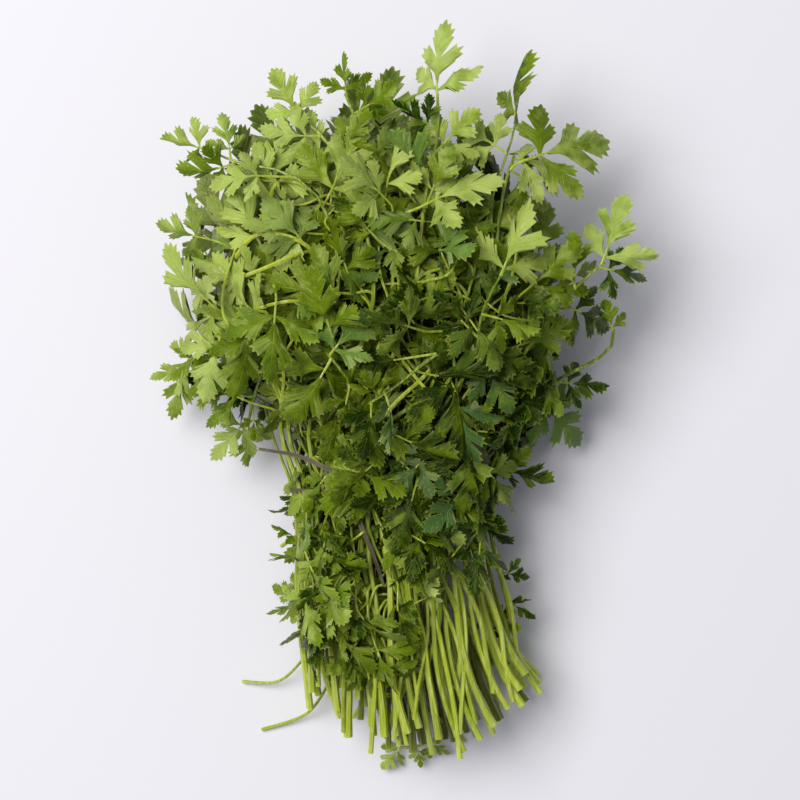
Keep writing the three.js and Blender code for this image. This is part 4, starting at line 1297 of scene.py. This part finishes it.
ARCHES = [
    ([(-67, 53), (-58, 63), (-49, 64), (-39, 61), (-32, 55)], 0.95),
    ([(-65, 47), (-55, 50), (-43, 55), (-35, 58)], 0.8),
    ([(-63, 27), (-58, 34), (-43, 38), (-30, 36)], 0.75),
    ([(19, 21), (9, 9), (-1, 0), (-10, -10), (-18, -20)], 0.85),
    ([(-2, 18), (5, 9), (12, 0), (15, -12)], 0.7),
    ([(41, 74), (45, 62), (43, 48), (38, 34)], 0.7),
    ([(-48, 8), (-40, 2), (-33, -7), (-29, -17)], 0.7),
]
for points, radius in ARCHES:
    rise = np.sin(np.linspace(0, math.pi, len(points)))
    line = [np.array([x, y, top_height(x, y) - 3 + 10 * up]) for (x, y), up in zip(points, rise)]
    tone = (cross_draw(0.1, 0.4), cross_draw(0.9, 1.05), 0)
    arch = bent_rod(PETIOLE, Run(rounded(line)), lambda t: radius * (1.1 - 0.2 * t), tone)
    parts_beside(line[-1]).append(arch)

for stem in stems:
    joined("parsley_" + stem["node"], stem["parts"], stem["node"])

# The shapes that were only copied go.
for shape in (BROAD, DEEP, RIGHT_SIDE, LEFT_SIDE, STALK, SMALL_STALK, PETIOLE):
    bpy.data.objects.remove(shape)

# ---- The tie ----
# A flat strip of dried reed goes once round the stems and is twisted into a small knot on top. Its two
# ends stay free: one points out to the left, and the other lies along the stems.

TIE_WIDTH = 1.5
TIE_THICK = 0.9
KNOT_ANGLE = 118
KNOT_LIFT = 2.4
KNOT_NARROWING = 0.8
END_NARROWING = 0.35
END_TWISTS = (0.5, -0.7)


def reed_material():
    reed = Finish("dried reed")
    fibres = reed.noise(reed.drawn_out(reed.place["UV"], (9, 5, 1)), 1, 4)
    streaked = reed.step("ValToRGB", {0: fibres})
    dark, pale = streaked.node.color_ramp.elements
    dark.position, dark.color = 0.3, (0.022, 0.017, 0.008, 1)
    pale.position, pale.color = 0.72, (0.240, 0.215, 0.125, 1)
    blotch = reed.noise(reed.place["Object"], 70, 2)
    colour = reed.mixed(blotch, streaked, (0.085, 0.060, 0.026))
    return reed.surface(0.7, 0.0005, fibres, Base_Color=colour, Roughness=0.6)


REED = reed_material()


def shaped_strip(steps):
    """A strip a unit long, with a rounded flat section that has a shallow channel along both faces."""
    bpy.ops.object.select_all(action="DESELECT")
    bpy.ops.mesh.primitive_grid_add(x_subdivisions=steps, y_subdivisions=6, size=1)
    strip = open_added("reed strip", REED)
    move(strip.data, lambda v: abs(v.co.y) < 0.1, (0, 0, -0.10))
    move(strip.data, lambda v: 0.4 > abs(v.co.y) > 0.1, (0, 0, 0.08))
    bpy.ops.object.mode_set(mode="OBJECT")
    solid = strip.modifiers.new("Thickness", "SOLIDIFY")
    solid.thickness = 0.62
    solid.offset = 0
    bpy.ops.object.modifier_apply(modifier="Thickness")
    bpy.ops.object.shade_smooth_by_angle(angle=math.radians(40))
    return strip


def laid_strip(shape, path, outward, narrowing, twist=0.0):
    """A copy of the strip laid along path. outward(point) is the way that its face looks."""

    def place(points):
        placed = []
        for x, y, z in points:
            t = x + 0.5
            at, ahead = path.along(t * path.length)
            up = outward(at)
            side = unit(np.cross(ahead, up))
            up = np.cross(side, ahead)
            c, s = math.cos(twist * t), math.sin(twist * t)
            thin = narrowing(t)
            w, h = y * TIE_WIDTH * thin, z * TIE_THICK * thin
            placed.append(at + side * (w * c - h * s) + up * (w * s + h * c))
        return np.array(placed)

    return copied(shape, place, (0.5, 1, 0))


STRIP = shaped_strip(72)
STRIP_END = shaped_strip(20)
middle_of_tie = np.array([station(0, SIDEWAYS), TIE_Y, station(0, MIDDLE)])
loop = Run([tie_point(a) for a in np.linspace(0, 2 * math.pi, 121)])
tie_parts = [laid_strip(STRIP, loop, lambda p: (p - middle_of_tie) * (1, 0, 1), lambda t: 1)]
LEFT_END = [(-16, -33, 55), (-27, -28.5, 56), (-41, -22.5, 50), (-57, -20, 39)]
for k, points in enumerate((LEFT_END, TIE_ENDS[1])):
    path = Run(rounded(points))
    tie_parts.append(laid_strip(STRIP_END, path, lambda p: (0.15, 0.1, 1),
                                lambda t: 1 - END_NARROWING * t * t, END_TWISTS[k]))
knot_at = tie_point(math.radians(KNOT_ANGLE)) + np.array([0, 0, KNOT_LIFT])
for k in range(2):
    wrap = []
    for a in np.linspace(0, 2 * math.pi, 25):
        x, y = (3.0 - k) * math.cos(a), (1.6 + 0.9 * k) * math.sin(a + 0.5 * k)
        wrap.append(knot_at + np.array([x, y, 1.5 * math.sin(a + 1.4 * k)]))
    tie_parts.append(laid_strip(STRIP_END, Run(wrap), lambda p: p - knot_at + (0, 0, 0.01),
                                lambda t: KNOT_NARROWING))
joined("reed_tie_strip", tie_parts, "reed_tie")
bpy.data.objects.remove(STRIP)
bpy.data.objects.remove(STRIP_END)

# ---- The table ----
# The bunch lies on a smooth, matt, almost white table top, a flat sheet that reaches far past the bunch.
# It isn't part of the bunch.

bpy.ops.object.select_all(action="DESELECT")
bpy.ops.mesh.primitive_plane_add(size=8, location=(0, 0, 0))
table = bpy.context.object
table.name = "table_top"
paper = bpy.data.materials.new("matt white table")
paper.use_nodes = True
paper.node_tree.nodes["Principled BSDF"].inputs["Base Color"].default_value = (0.83, 0.82, 0.865, 1)
paper.node_tree.nodes["Principled BSDF"].inputs["Roughness"].default_value = 0.8
table.data.materials.append(paper)

# ---- Light ----
# One large soft window, high up on the left, lights the bunch. A pale, slightly blue room light fills
# the shadows.

window = bpy.data.lights.new("window", "AREA")
window.size = 1.5
window.energy = 56.5
window.color = (1.0, 0.985, 0.975)
held_window = bpy.data.objects.new("window", window)
held_window.location = (-1.0, 0.55, 2.0)
x, y, z = np.array([0, 0, 0.03]) - np.array(held_window.location)
held_window.rotation_euler = (math.atan2(math.hypot(x, y), -z), 0, math.atan2(x, -y) + math.pi)
bpy.context.scene.collection.objects.link(held_window)
sky = bpy.data.worlds.new("room")
sky.use_nodes = True
background = sky.node_tree.nodes["Background"]
background.inputs["Color"].default_value = (0.88, 0.915, 1.0, 1)
background.inputs["Strength"].default_value = 0.25
bpy.context.scene.world = sky
bpy.context.scene.view_settings.view_transform = "Standard"

# ---- Camera ----
# It looks straight down on the bunch from 1.1 m, with the leaves at the top of the frame and the cut
# ends at the bottom.

camera = bpy.data.objects.new("camera", bpy.data.cameras.new("camera"))
camera.data.sensor_width = 36
camera.data.lens = 119.25
camera.location = (0.00035, -0.00295, 1.1)
bpy.context.scene.collection.objects.link(camera)
bpy.context.scene.camera = camera
